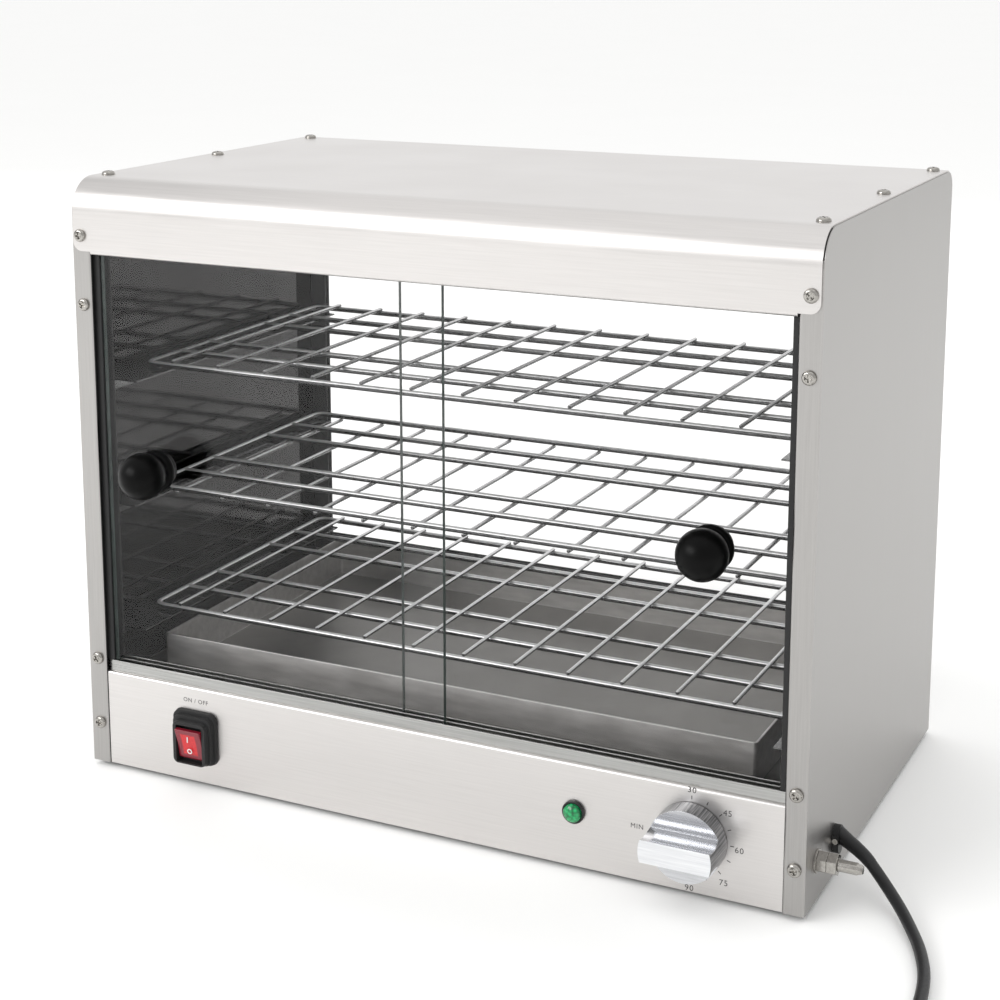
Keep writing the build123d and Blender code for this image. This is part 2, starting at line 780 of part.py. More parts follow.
# Thermostat knob: a turned skirt with a grip bar across it and a sloping flat on each side of the bar
knob_face = panel_face.offset(knob_gap)
knob_section = Plane(
    origin=knob_face.from_local_coords((*thermostat_place, 0)), x_dir=(0, -1, 0), z_dir=(-1, 0, 0)
)
with BuildPart() as thermostat_knob:
    with BuildSketch(knob_face):
        with Locations(thermostat_place):
            Circle(knob_radius)
    extrude(amount=knob_height)
    with BuildSketch(knob_section) as flats:
        for flank in (-1, 1):
            with BuildLine():
                Polyline(
                    (knob_height + 1, flank * grip_width / 2), (knob_skirt - 2, flank * (grip_width / 2 + 1)),
                    (knob_skirt + 3, flank * (knob_radius + 1)), (knob_height + 1, flank * (knob_radius + 1)),
                    (knob_height + 1, flank * grip_width / 2),
                )
            make_face()
    extrude(amount=knob_radius + 1, both=True, mode=Mode.SUBTRACT)
    scoop_radius = (grip_width**2 / 4 + grip_scoop**2) / (2 * grip_scoop)
    with BuildSketch(knob_section):
        with Locations((knob_height - grip_scoop + scoop_radius, 0)):
            Circle(scoop_radius)
    extrude(amount=knob_radius + 1, both=True, mode=Mode.SUBTRACT)
    with BuildSketch(knob_face):
        with Locations(thermostat_place):
            Circle(shaft_radius + shaft_clearance / 2)
    extrude(amount=knob_skirt / 2 + 1, mode=Mode.SUBTRACT)
thermostat_knob.part.label = "thermostat_knob"
export_step(thermostat_knob.part, "parts/thermostat_knob.step")

# Sensing bulb on the right wall, with its capillary down through the control panel's return
with BuildPart() as thermostat_bulb:
    with BuildSketch(base.offset(bulb_level)):
        with Locations(bulb_place):
            Circle(bulb_radius)
    extrude(amount=bulb_length / 2, both=True)
    with BuildSketch(base.offset(bulb_level - bulb_length / 2)):
        with Locations(bulb_place):
            Circle(capillary_radius)
    extrude(amount=panel_height - panel_skirt - bulb_level + bulb_length / 2)
thermostat_bulb.part.label = "thermostat_bulb"
export_step(thermostat_bulb.part, "parts/thermostat_bulb.step")

# Screws: button heads with a recess, on the strips, the roof and the back
with BuildPart() as strip_screws:
    with BuildSketch(front.offset(-sheet)):
        with Locations(*front_screw_places):
            Circle(screw_shank_radius)
    extrude(amount=-screw_shank_length + sheet)
    with BuildSketch(front.offset(-sheet)):
        with Locations(*front_screw_places):
            Circle(screw_head_radius)
    extrude(amount=screw_head_height, taper=30)
    with BuildSketch(front):
        with Locations(*tab_screw_places):
            Circle(screw_shank_radius)
    extrude(amount=-screw_shank_length)
    with BuildSketch(front):
        with Locations(*tab_screw_places):
            Circle(screw_head_radius)
    extrude(amount=screw_head_height, taper=30)
strip_screws.part.label = "strip_screws"
export_step(strip_screws.part, "parts/strip_screws.step")

with BuildPart() as roof_screws:
    with BuildSketch(roof):
        with Locations(*top_screw_spots):
            Circle(screw_shank_radius)
    extrude(amount=-screw_shank_length)
    with BuildSketch(roof):
        with Locations(*top_screw_spots):
            Circle(screw_head_radius)
    extrude(amount=screw_head_height, taper=30)
roof_screws.part.label = "roof_screws"
export_step(roof_screws.part, "parts/roof_screws.step")

with BuildPart() as rear_screws:
    with BuildSketch(back):
        with Locations(*rear_screw_places, *tab_screw_places):
            Circle(screw_shank_radius)
    extrude(amount=-rear_screw_length)
    with BuildSketch(back):
        with Locations(*rear_screw_places, *tab_screw_places):
            Circle(screw_head_radius)
    extrude(amount=screw_head_height, taper=30)
rear_screws.part.label = "rear_screws"
export_step(rear_screws.part, "parts/rear_screws.step")

# Feet and their screws
with BuildPart() as feet:
    with BuildSketch(base):
        with Locations(*foot_places):
            Circle(foot_radius)
            Circle(foot_hole_radius, mode=Mode.SUBTRACT)
    extrude(amount=-foot_height)
    with BuildSketch(base.offset(-foot_height)):
        with Locations(*foot_places):
            Circle(foot_sink_radius)
    extrude(amount=foot_sink, mode=Mode.SUBTRACT)
feet.part.label = "feet"
export_step(feet.part, "parts/feet.step")

with BuildPart() as foot_screws:
    with BuildSketch(base.offset(foot_sink - foot_height)):
        with Locations(*foot_places):
            Circle(screw_head_radius)
    extrude(amount=-foot_sink / 2)
    with BuildSketch(base.offset(foot_sink - foot_height)):
        with Locations(*foot_places):
            Circle(screw_shank_radius)
    extrude(amount=foot_height + sheet)
foot_screws.part.label = "foot_screws"
export_step(foot_screws.part, "parts/foot_screws.step")

# Bonding stud with its nuts and washer
nut_stack = washer_height + 2 * nut_height + nut_gap
with BuildPart() as earth_stud:
    with BuildSketch(right.offset(-2 * nut_height)):
        with Locations(stud_place):
            Circle(stud_core_radius)
    extrude(amount=2 * nut_height + stud_length / 2)
    with BuildSketch(right.offset(nut_stack + nut_gap)):
        with Locations(stud_place):
            Circle(stud_radius)
    extrude(amount=stud_length - nut_stack - nut_gap)
    chamfer(earth_stud.faces().sort_by(Axis.X)[-1].edges(), stud_tip, stud_tip / 3)
earth_stud.part.label = "earth_stud"
export_step(earth_stud.part, "parts/earth_stud.step")

with BuildPart() as earth_nuts:
    nut_starts = (-sheet - nut_height, washer_height, washer_height + nut_height + nut_gap)
    for start in nut_starts:
        with BuildSketch(right.offset(start)):
            with Locations(stud_place):
                RegularPolygon(nut_across / 2, 6, major_radius=False, rotation=30)
                Circle(stud_radius + nut_gap, mode=Mode.SUBTRACT)
        extrude(amount=nut_height)
earth_nuts.part.label = "earth_nuts"
export_step(earth_nuts.part, "parts/earth_nuts.step")

with BuildPart() as earth_washer:
    with BuildSketch(right):
        with Locations(stud_place):
            Circle(washer_radius)
            Circle(stud_radius + nut_gap, mode=Mode.SUBTRACT)
    extrude(amount=washer_height)
earth_washer.part.label = "earth_washer"
export_step(earth_washer.part, "parts/earth_washer.step")

# Cord clamp: a round-ended block with a slanting nose, and a screw in its front side that grips the cord
exit_point = right.origin + Vector(*clamp_exit)
heading = Vector(*exit_heading).normalized()
nose_root = exit_point - heading * clamp_nose
with BuildPart() as cord_clamp:
    with BuildSketch(Plane(origin=nose_root, z_dir=heading)):
        Circle(clamp_root_radius)
    with BuildSketch(Plane(origin=exit_point, z_dir=heading)):
        Circle(clamp_nose_radius)
    loft()
    with BuildSketch(right):
        Rectangle(depth, 2 * body_height)
    extrude(amount=-4 * clamp_depth, mode=Mode.SUBTRACT)
    with BuildSketch(right):
        with Locations(clamp_middle):
            SlotOverall(clamp_size[1], clamp_size[0], rotation=90)
    extrude(amount=clamp_depth)
cord_clamp.part.label = "cord_clamp"
export_step(cord_clamp.part, "parts/cord_clamp.step")

clamp_side = across.offset(clamp_size[0] / 2 - clamp_middle[0])
with BuildPart() as clamp_screw:
    with BuildSketch(clamp_side):
        with Locations((width / 2 + clamp_depth / 2, clamp_screw_level)):
            Circle(clamp_screw_radius)
    extrude(amount=clamp_screw_head_height)
clamp_screw.part.label = "clamp_screw"
export_step(clamp_screw.part, "parts/clamp_screw.step")

# Terminal block inside, next to the cord
block_size = (16.0, 34.0, 18.0)
block_place = (inner_half - 40, clamp_exit[1] + 60)
with BuildPart() as terminal_block:
    with BuildSketch(base.offset(sheet)):
        with Locations(block_place):
            Rectangle(block_size[0], block_size[1])
    extrude(amount=block_size[2])
    with BuildSketch(base.offset(sheet + block_size[2])):
        with Locations(*[(block_place[0], block_place[1] + y) for y in (-11, 0, 11)]):
            Circle(3)
    extrude(amount=-6, mode=Mode.SUBTRACT)
terminal_block.part.label = "terminal_block"
export_step(terminal_block.part, "parts/terminal_block.step")

# Cord: the route's points start at the clamp and end at the coil
lie = cord_radius + lie_gap
cord_route = [
    exit_point,
    exit_point + Vector(10.6, -3.9, -4.1),
    exit_point + Vector(20.9, -9.8, -11.5),
    exit_point + Vector(30.2, -18.1, -17.9),
    Vector(exit_point.X + 39.2, exit_point.Y - 30.5, lie + 3.4),
    Vector(exit_point.X + 47.8, exit_point.Y - 47.3, lie + 1.0),
    Vector(exit_point.X + 58.3, exit_point.Y - 70.1, lie),
    Vector(exit_point.X + 70.3, exit_point.Y - 103.0, lie),
    Vector(exit_point.X + 79.0, exit_point.Y - 146.5, lie),
    Vector(exit_point.X + 79.0, exit_point.Y - 187.0, lie),
]


def corner_radii(route):
    """As large an arc at each corner as its two runs allow."""
    radii = []
    for before, corner, after in zip(route, route[1:], route[2:]):
        turn = (corner - before).get_angle(after - corner)
        shorter = min((corner - before).length, (after - corner).length)
        radii.append(0.45 * shorter / math.tan(math.radians(turn) / 2))
    return radii


radii = corner_radii(cord_route)
with BuildPart() as power_cord:
    with BuildLine() as cord_path:
        FilletPolyline(*cord_route, radius=radii)
    with BuildSketch(Plane(origin=cord_route[0], z_dir=heading)):
        Circle(cord_radius)
    sweep(path=cord_path.line)
power_cord.part.label = "power_cord"
export_step(power_cord.part, "parts/power_cord.step")

# Put-away coil: it winds in, climbs a layer in its middle half turn and winds out again
coil_outer_radius = coil_inner_radius + coil_half_turns * coil_step
coil_start = cord_route[-1]
coil_centre = coil_start + Vector(coil_outer_radius, -coil_lead, 0)
lower = [coil_outer_radius - i * coil_step for i in range(coil_half_turns + 1)]
reaches = lower + lower[::-1]
half_turns = []
for i in range(len(reaches) - 1):
    way = -1 if i % 2 == 0 else 1
    start = coil_centre + Vector(way * reaches[i], 0, coil_layer if i > coil_half_turns else 0)
    end = coil_centre + Vector(-way * reaches[i + 1], 0, coil_layer if i >= coil_half_turns else 0)
    far = (start + end) * 0.5 + Vector(0, way * (end - start).length / 2, 0)
    half_turns.append((start, far, end))
with BuildPart() as cord_coil:
    with BuildSketch(Plane(origin=coil_start, z_dir=(0, -1, 0))):
        Circle(cord_radius)
    extrude(amount=coil_lead)
    for start, far, end in half_turns:
        middle = (start + end) * 0.5
        with BuildSketch(Plane(origin=start, z_dir=far - middle)):
            Circle(cord_radius)
        revolve(axis=Axis(middle, (start - middle).cross(far - middle)), revolution_arc=180)
    with BuildSketch(Plane(origin=end, z_dir=(0, 1, 0))):
        Circle(cord_radius)
    extrude(amount=coil_tail)
cord_coil.part.label = "cord_coil"
export_step(cord_coil.part, "parts/cord_coil.step")

# Plug at the end of the coil, lying on the bench
plug_start = end + Vector(0, coil_tail, 0)
plug_height = 2 * (plug_start.Z - lie_gap)
with BuildPart() as plug_body:
    with BuildSketch(Plane(origin=plug_start, x_dir=(1, 0, 0), z_dir=(0, 1, 0))):
        RectangleRounded(3 * cord_radius, 3 * cord_radius, cord_radius)
    with BuildSketch(Plane(origin=plug_start + Vector(0, plug_neck, 0), x_dir=(1, 0, 0), z_dir=(0, 1, 0))):
        RectangleRounded(plug_width, plug_height, plug_corner)
    loft()
    extrude(plug_body.faces().sort_by(Axis.Y)[-1], amount=plug_length - plug_neck)
plug_body.part.label = "plug_body"
export_step(plug_body.part, "parts/plug_body.step")

with BuildPart() as plug_pins:
    with BuildSketch(Plane(origin=plug_start + Vector(0, plug_length, 0), x_dir=(-1, 0, 0), z_dir=(0, 1, 0))):
        with Locations((-pin_spread, -4), (pin_spread, -4)):
            Rectangle(pin_thickness, pin_width)
        with Locations((0, 6)):
            Rectangle(pin_width, pin_thickness)
    extrude(amount=pin_length)
plug_pins.part.label = "plug_pins"
export_step(plug_pins.part, "parts/plug_pins.step")


def least_gap(path, diameter, step):
    """Smallest gap between two stretches of a wound path, measured on points along it."""
    count = int(path.length / step)
    points = [path @ (i / count) for i in range(count + 1)]
    skip = int(3 * diameter / step)
    nearest = min((b - a).length for i, a in enumerate(points) for b in points[i + skip:])
    return nearest - diameter


tube_area = math.pi * cord_radius**2
cord_wire = cord_path.wires()[0]
with BuildLine() as coil_path:
    Line(coil_start, half_turns[0][0])
    for half_turn in half_turns:
        ThreePointArc(*half_turn)
    Line(half_turns[-1][2], half_turns[-1][2] + Vector(0, coil_tail, 0))
coil_wire = coil_path.wires()[0]
print("cord radii", [round(r, 1) for r in radii])
print("cord tube length", round(cord_wire.length, 1), "volume ratio",
      round(power_cord.part.volume / (tube_area * cord_wire.length), 4))
print("coil length", round(coil_wire.length, 1), "volume ratio",
      round(cord_coil.part.volume / (tube_area * coil_wire.length), 4))
print("least gap in the coil", round(least_gap(coil_wire, 2 * cord_radius, 2.5), 2))
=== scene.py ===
import json
import math

import bpy
from mathutils import Matrix, Vector

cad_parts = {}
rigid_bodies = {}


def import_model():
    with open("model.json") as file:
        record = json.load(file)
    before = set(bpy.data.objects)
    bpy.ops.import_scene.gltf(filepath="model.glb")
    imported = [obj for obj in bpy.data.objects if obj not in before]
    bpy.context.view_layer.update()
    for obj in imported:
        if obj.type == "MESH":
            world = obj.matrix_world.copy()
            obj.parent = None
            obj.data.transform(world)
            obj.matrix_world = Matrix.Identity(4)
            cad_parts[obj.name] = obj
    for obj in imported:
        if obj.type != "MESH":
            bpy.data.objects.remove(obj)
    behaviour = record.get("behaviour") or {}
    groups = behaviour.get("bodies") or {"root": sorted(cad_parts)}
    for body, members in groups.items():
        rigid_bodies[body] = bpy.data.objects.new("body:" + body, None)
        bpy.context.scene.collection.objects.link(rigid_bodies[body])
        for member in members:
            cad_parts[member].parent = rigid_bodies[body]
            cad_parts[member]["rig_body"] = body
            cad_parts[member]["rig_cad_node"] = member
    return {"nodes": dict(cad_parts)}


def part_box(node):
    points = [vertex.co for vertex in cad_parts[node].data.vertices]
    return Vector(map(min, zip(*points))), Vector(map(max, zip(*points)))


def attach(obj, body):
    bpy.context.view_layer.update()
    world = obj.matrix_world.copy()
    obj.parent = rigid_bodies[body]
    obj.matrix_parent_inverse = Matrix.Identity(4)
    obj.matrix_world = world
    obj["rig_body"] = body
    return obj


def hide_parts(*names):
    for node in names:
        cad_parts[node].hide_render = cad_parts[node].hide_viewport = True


bl_info = {
    "name": "Pie Warmer Cabinet",
    "version": (1, 0, 0),
    "blender": (4, 5, 0),
    "location": "3D View > Sidebar > Warmer",
    "description": "Dresses the packed model of a countertop pie warmer cabinet",
    "category": "Object",
}

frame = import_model()

mm = 0.001
# The sheet's thickness, half that of a screen print, and the gap that joins a mesh's loose triangles
SHEET = 1.2 * mm
INK = 0.03 * mm
SEAM = 0.002 * mm
# Noise lies mostly between these
NOISE = {"From Min": 0.3, "From Max": 0.7}

# Planes of the cabinet, read from the frame
COVER_LOW, COVER_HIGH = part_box("top_cover")
PANEL_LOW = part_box("control_panel")[0]
WALL_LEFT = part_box("left_side_panel")[0].x
WALL_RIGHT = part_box("right_side_panel")[1].x
ROOF = COVER_HIGH.z
FRONT = COVER_LOW.y
BACK = COVER_HIGH.y
PANEL_FACE = PANEL_LOW.y
CENTRE = Vector(((WALL_LEFT + WALL_RIGHT) / 2, (FRONT + BACK) / 2, (ROOF + PANEL_LOW.z) / 2))
TO_FRONT = Matrix.Rotation(math.radians(90), 4, "X")
TO_BACK = Matrix.Rotation(math.radians(-90), 4, "X")
TO_RIGHT = Matrix.Rotation(math.radians(90), 4, "Y")
UPRIGHT = Matrix.Identity(4)


# Settings in the sidebar


class WarmerSizes(bpy.types.PropertyGroup):
    screw_head: bpy.props.FloatProperty(
        name="Screw head", description="Radius of a domed screw head", default=4.8 * mm, unit="LENGTH")
    screw_dome: bpy.props.FloatProperty(
        name="Screw dome", description="Height of a domed screw head", default=2.6 * mm, unit="LENGTH")
    rim_wire: bpy.props.FloatProperty(
        name="Rim wire", description="Thickness of the shelves' rim and cross wires", default=4.5 * mm,
        unit="LENGTH")
    thin_wire: bpy.props.FloatProperty(
        name="Thin wire", description="Thickness of the wires from front to back", default=3.0 * mm,
        unit="LENGTH")
    ball: bpy.props.FloatProperty(
        name="Door knob", description="Radius of a door's ball knob", default=17.0 * mm, unit="LENGTH")
    dial: bpy.props.FloatProperty(
        name="Dial", description="Radius of the thermostat knob", default=25.0 * mm, unit="LENGTH")
    cord: bpy.props.FloatProperty(
        name="Cord", description="Diameter of the mains cord", default=8.0 * mm, unit="LENGTH")


class WarmerColours(bpy.types.PropertyGroup):
    steel: bpy.props.StringProperty(
        name="Steel", description="Hood's steel, as sRGB hex", default="#d5d2d0")
    rubber: bpy.props.StringProperty(
        name="Rubber", description="Black rubber, as sRGB hex", default="#1b1b1c")
    rocker: bpy.props.StringProperty(
        name="Rocker", description="Switch rocker, as sRGB hex", default="#d61f26")
    lamp: bpy.props.StringProperty(
        name="Lamp", description="Lamp lens, as sRGB hex", default="#1fae66")


# Helpers for objects


def pick(*pieces):
    """Selects these pieces alone, the last one active."""
    bpy.ops.object.select_all(action="DESELECT")
    for piece in pieces:
        piece.select_set(True)
    bpy.context.view_layer.objects.active = pieces[-1]
    return pieces[-1]


def apply_modifier(piece, kind, **settings):
    """Adds one modifier to the piece and applies it."""
    pick(piece)
    modifier = piece.modifiers.new(kind.title(), kind)
    for name, value in settings.items():
        setattr(modifier, name, value)
    bpy.ops.object.modifier_apply(modifier=modifier.name)


def edit(piece, *steps):
    """Runs the steps in edit mode with the whole mesh selected."""
    pick(piece)
    bpy.ops.object.mode_set(mode="EDIT")
    bpy.ops.mesh.select_all(action="SELECT")
    for step in steps:
        step()
    bpy.ops.object.mode_set(mode="OBJECT")


def settle(piece):
    """Puts the piece's place into its mesh, so that its object sits at the origin."""
    pick(piece)
    bpy.ops.object.transform_apply(location=True, rotation=True, scale=True)
    return piece


def smooth(piece, angle=30):
    pick(piece)
    bpy.ops.object.shade_smooth_by_angle(angle=math.radians(angle))
    return piece


def soften(piece, width, segments=2, angle=35):
    """Rounds the sharp edges a little, as pressing, moulding or deburring does, and keeps flat faces flat."""
    if width:
        apply_modifier(piece, "BEVEL", width=width, segments=segments, limit_method="ANGLE",
                       angle_limit=math.radians(angle), use_clamp_overlap=True)
    smooth(piece, angle)
    apply_modifier(piece, "WEIGHTED_NORMAL", keep_sharp=True, weight=80)
    return piece


def merge(name, pieces):
    """Joins pieces into one of that name."""
    piece = pick(*pieces)
    bpy.ops.object.join()
    piece.name = name
    return piece


def copy_of(piece, matrix):
    """A copy with its own mesh, moved by the matrix."""
    pick(piece)
    bpy.ops.object.duplicate()
    twin = bpy.context.active_object
    twin.matrix_world = matrix @ twin.matrix_world
    return settle(twin)


def cylinder(radius, depth, place, sides=32, turn=UPRIGHT, top_radius=None):
    """A cylinder or cone on its lower end at the place, turned from upright by the matrix."""
    if top_radius is None:
        top_radius = radius
    bpy.ops.mesh.primitive_cone_add(vertices=sides, radius1=radius, radius2=top_radius, depth=depth)
    piece = bpy.context.active_object
    piece.matrix_world = Matrix.Translation(place) @ turn @ Matrix.Translation((0, 0, depth / 2))
    return settle(piece)


def block(low, high):
    """A box between two corners."""
    bpy.ops.mesh.primitive_cube_add(size=1)
    piece = bpy.context.active_object
    low, high = Vector(low), Vector(high)
    piece.location = (low + high) / 2
    piece.scale = high - low
    return settle(piece)


def cut(piece, *tools):
    """Cuts the tools out of the piece and removes them."""
    for tool in tools:
        apply_modifier(piece, "BOOLEAN", operation="DIFFERENCE", solver="EXACT", object=tool)
        bpy.data.objects.remove(tool)
    return piece


def carry(piece, name, finish, node, *replaced):
    """Names the piece and gives it its finish. It rides with the node and stands for those replaced."""
    settle(piece)
    piece.name = name
    piece.data.name = name
    piece.data.materials.clear()
    for one in finish if isinstance(finish, (list, tuple)) else [finish]:
        piece.data.materials.append(one)
    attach(piece, frame["nodes"][node]["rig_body"])
    if replaced:
        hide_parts(*replaced)
    return piece


def refine(node, name, finish, edge=0.0, segments=2, angle=35):
    """A merged copy of a node with its edges softened, which stands for the node."""
    pick(frame["nodes"][node])
    bpy.ops.object.duplicate()
    piece = bpy.context.active_object
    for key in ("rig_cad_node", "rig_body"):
        del piece[key]
    piece.parent = None
    edit(
        piece,
        lambda: bpy.ops.mesh.remove_doubles(threshold=SEAM),
        lambda: bpy.ops.mesh.dissolve_limited(angle_limit=math.radians(1)),
    )
    soften(piece, edge, segments, angle)
    return carry(piece, name, finish, node, node)


# Helpers for materials


def linear(hex_colour):
    """An sRGB hex value as linear red, green, blue and alpha."""
    channels = [int(hex_colour[i:i + 2], 16) / 255 for i in (1, 3, 5)]
    return (*[c / 12.92 if c <= 0.04045 else ((c + 0.055) / 1.055) ** 2.4 for c in channels], 1.0)


def add_node(tree, kind, settings=None, links=None):
    """Adds a node. A setting or link names an input, by name or number, or else an attribute of the node."""
    node = tree.nodes.new(kind)
    for key, value in (settings or {}).items():
        if isinstance(key, int) or key in node.inputs:
            node.inputs[key].default_value = value
        else:
            setattr(node, key, value)
    for key, socket in (links or {}).items():
        tree.links.new(socket, node.inputs[key])
    return node


def start_material(name, **sockets):
    """A material of one Principled shader, whose even numbers are set on its own sockets."""
    material = bpy.data.materials.new(name)
    material.use_nodes = True
    tree = material.node_tree
    tree.nodes.clear()
    shader = add_node(tree, "ShaderNodeBsdfPrincipled", {k.replace("_", " "): v for k, v in sockets.items()})
    add_node(tree, "ShaderNodeOutputMaterial", links={"Surface": shader.outputs["BSDF"]})
    place = add_node(tree, "ShaderNodeTexCoord").outputs["Object"]
    return material, tree, shader, place


def grain(tree, place, size, detail=3.0):
    """Noise whose grains measure the given size along X, Y and Z, in metres."""
    mapped = add_node(tree, "ShaderNodeMapping", {"Scale": [1 / s for s in size]}, {"Vector": place})
    noise = add_node(tree, "ShaderNodeTexNoise", {"Scale": 1.0, "Detail": detail, "Roughness": 0.55},
                     {"Vector": mapped.outputs["Vector"]})
    return noise.outputs["Fac"]


def clouded(tree, noise, first, second):
    """A colour that drifts with the noise from the first to the second."""
    spread = add_node(tree, "ShaderNodeMapRange", NOISE, {"Value": noise})
    colours = {"data_type": "RGBA", 6: linear(first), 7: linear(second)}
    return add_node(tree, "ShaderNodeMix", colours, {0: spread.outputs["Result"]}).outputs[2]


def wear(tree, shader, factor, spread, height, depth):
    """Lets the roughness follow one factor, and the surface another to the depth."""
    rough = add_node(tree, "ShaderNodeMapRange", spread, {"Value": factor})
    tree.links.new(rough.outputs["Result"], shader.inputs["Roughness"])
    if depth:
        bump = add_node(tree, "ShaderNodeBump", {"Strength": 1.0, "Distance": depth}, {"Height": height})
        tree.links.new(bump.outputs["Normal"], shader.inputs["Normal"])


def moulded(name, colour, roughness, pit=0.6 * mm, depth=0.02 * mm, **sockets):
    """Moulded plastic or rubber: one colour with a fine sparkle in the gloss from the tool's texture."""
    material, tree, shader, place = start_material(name, **sockets)
    fine = grain(tree, place, (pit, pit, pit))
    broad = grain(tree, place, (20 * mm, 20 * mm, 20 * mm))
    dark = "#" + "".join(f"{int(int(colour[i:i + 2], 16) * 0.82):02x}" for i in (1, 3, 5))
    tree.links.new(clouded(tree, broad, dark, colour), shader.inputs["Base Color"])
    spread = {**NOISE, "To Min": roughness * 0.85, "To Max": roughness * 1.15}
    wear(tree, shader, fine, spread, fine, depth)
    return material


def rolled(name, light, dark, roughness, size, depth=0.0, detail=2.0, metallic=1.0):
    """Metal with streaks in the colour, the gloss and the surface, as long and as wide as size says."""
    material, tree, shader, place = start_material(name, Metallic=metallic)
    streak = grain(tree, place, size, detail)
    broad = grain(tree, place, (90 * mm, 90 * mm, 90 * mm), 2.0)
    tree.links.new(clouded(tree, streak, dark, light), shader.inputs["Base Color"])
    blend = add_node(tree, "ShaderNodeMath", {"operation": "MULTIPLY_ADD", 1: 0.7}, {0: streak, 2: broad})
    spread = {"From Min": 0.5, "From Max": 1.2, "To Min": roughness * 0.85, "To Max": roughness * 1.2}
    wear(tree, shader, blend.outputs["Value"], spread, streak, depth)
    return material


def skin_mask(tree, place):
    """1 on the outer skin of the body and 0 inside it."""
    parts = add_node(tree, "ShaderNodeSeparateXYZ", links={"Vector": place})
    limits = (
        ("X", CENTRE.x, (WALL_RIGHT - WALL_LEFT) / 2 - SHEET / 2),
        ("Y", CENTRE.y, (BACK - FRONT) / 2 - 1.5 * SHEET),
        ("Z", 0.0, ROOF - 1.5 * SHEET),
    )
    past = []
    for axis, middle, limit in limits:
        moved = add_node(tree, "ShaderNodeMath", {"operation": "SUBTRACT", 1: middle},
                         {0: parts.outputs[axis]})
        size = add_node(tree, "ShaderNodeMath", {"operation": "ABSOLUTE"}, {0: moved.outputs["Value"]})
        past.append(add_node(tree, "ShaderNodeMath", {"operation": "GREATER_THAN", 1: limit},
                             {0: size.outputs["Value"]}).outputs["Value"])
    either = add_node(tree, "ShaderNodeMath", {"operation": "MAXIMUM"}, {0: past[0], 1: past[1]})
    return add_node(tree, "ShaderNodeMath", {"operation": "MAXIMUM"},
                    {0: either.outputs["Value"], 1: past[2]}).outputs["Value"]


# Finishes


def satin_stainless(name, light, dark):
    # Stainless sheet with a brushed finish: a soft pale grey whose fine scratches stretch the reflections.
    # The real scratches are 0.1 mm wide, so they are drawn about ten times coarser.
    return rolled(name, light, dark, 0.34, (60 * mm, 1.2 * mm, 1.2 * mm), 0.002 * mm, 4.0)


def two_sided_stainless():
    # Side sheets are brushed outside and left as rolled, almost a dark mirror, inside. Both colours are
    # painted: outside a darker copy of the hood's steel as painted shade, and inside almost black as painted
    # dark reflection.
    material, tree, shader, place = start_material("side_sheet_stainless_painted_shade", Metallic=1.0)
    mask = skin_mask(tree, place)
    streak = grain(tree, place, (1.2 * mm, 1.2 * mm, 60 * mm), 4.0)
    # Outside: a darker copy of the hood's steel, painted shade.
    outside = clouded(tree, streak, "#a4a2a0", "#aeacaa")
    cloud = grain(tree, place, (60 * mm, 60 * mm, 60 * mm))
    # Inside: almost black, painted dark reflection.
    inside = clouded(tree, cloud, "#2b2a2a", "#333232")
    colour = add_node(tree, "ShaderNodeMix", {"data_type": "RGBA"}, {0: mask, 6: inside, 7: outside})
    tree.links.new(colour.outputs[2], shader.inputs["Base Color"])
    spread = {**NOISE, "To Min": 0.30, "To Max": 0.40}
    brushed = add_node(tree, "ShaderNodeMapRange", spread, {"Value": streak})
    rough = add_node(tree, "ShaderNodeMix", {"data_type": "FLOAT", 2: 0.07},
                     {0: mask, 3: brushed.outputs["Result"]})
    tree.links.new(rough.outputs[0], shader.inputs["Roughness"])
    return material


def float_glass():
    # Clear float glass: it shows only where it reflects, so its cover follows the angle of sight.
    # The cover is kept under the usual 4% a face, as the photograph shows hardly any reflection.
    straight, glancing, most_smear = 0.01, 0.6, 0.004
    material, tree, shader, place = start_material(
        "clear_float_glass", Base_Color=(1, 1, 1, 1), Metallic=1.0, Roughness=0.01)
    smear = grain(tree, place, (60 * mm, 60 * mm, 90 * mm))
    film = add_node(tree, "ShaderNodeMapRange", {**NOISE, "To Max": most_smear}, {"Value": smear})
    facing = add_node(tree, "ShaderNodeLayerWeight", {"Blend": 0.5})
    steep = add_node(tree, "ShaderNodeMath", {"operation": "POWER", 1: 5.0}, {0: facing.outputs["Facing"]})
    cover = add_node(tree, "ShaderNodeMath", {"operation": "MULTIPLY_ADD", 1: glancing, 2: straight},
                     {0: steep.outputs["Value"]})
    veil = add_node(tree, "ShaderNodeMath", {"operation": "ADD", "use_clamp": True},
                    {0: cover.outputs["Value"], 1: film.outputs["Result"]})
    tree.links.new(veil.outputs["Value"], shader.inputs["Alpha"])
    return material


def glass_edge():
    # The ground edge of the pane, where the light that runs inside it comes out dark green.
    material, tree, shader, place = start_material("ground_glass_edge", Roughness=0.35, IOR=1.5)
    cloud = grain(tree, place, (3 * mm, 3 * mm, 12 * mm))
    tree.links.new(clouded(tree, cloud, "#2c3532", "#4a5652"), shader.inputs["Base Color"])
    return material


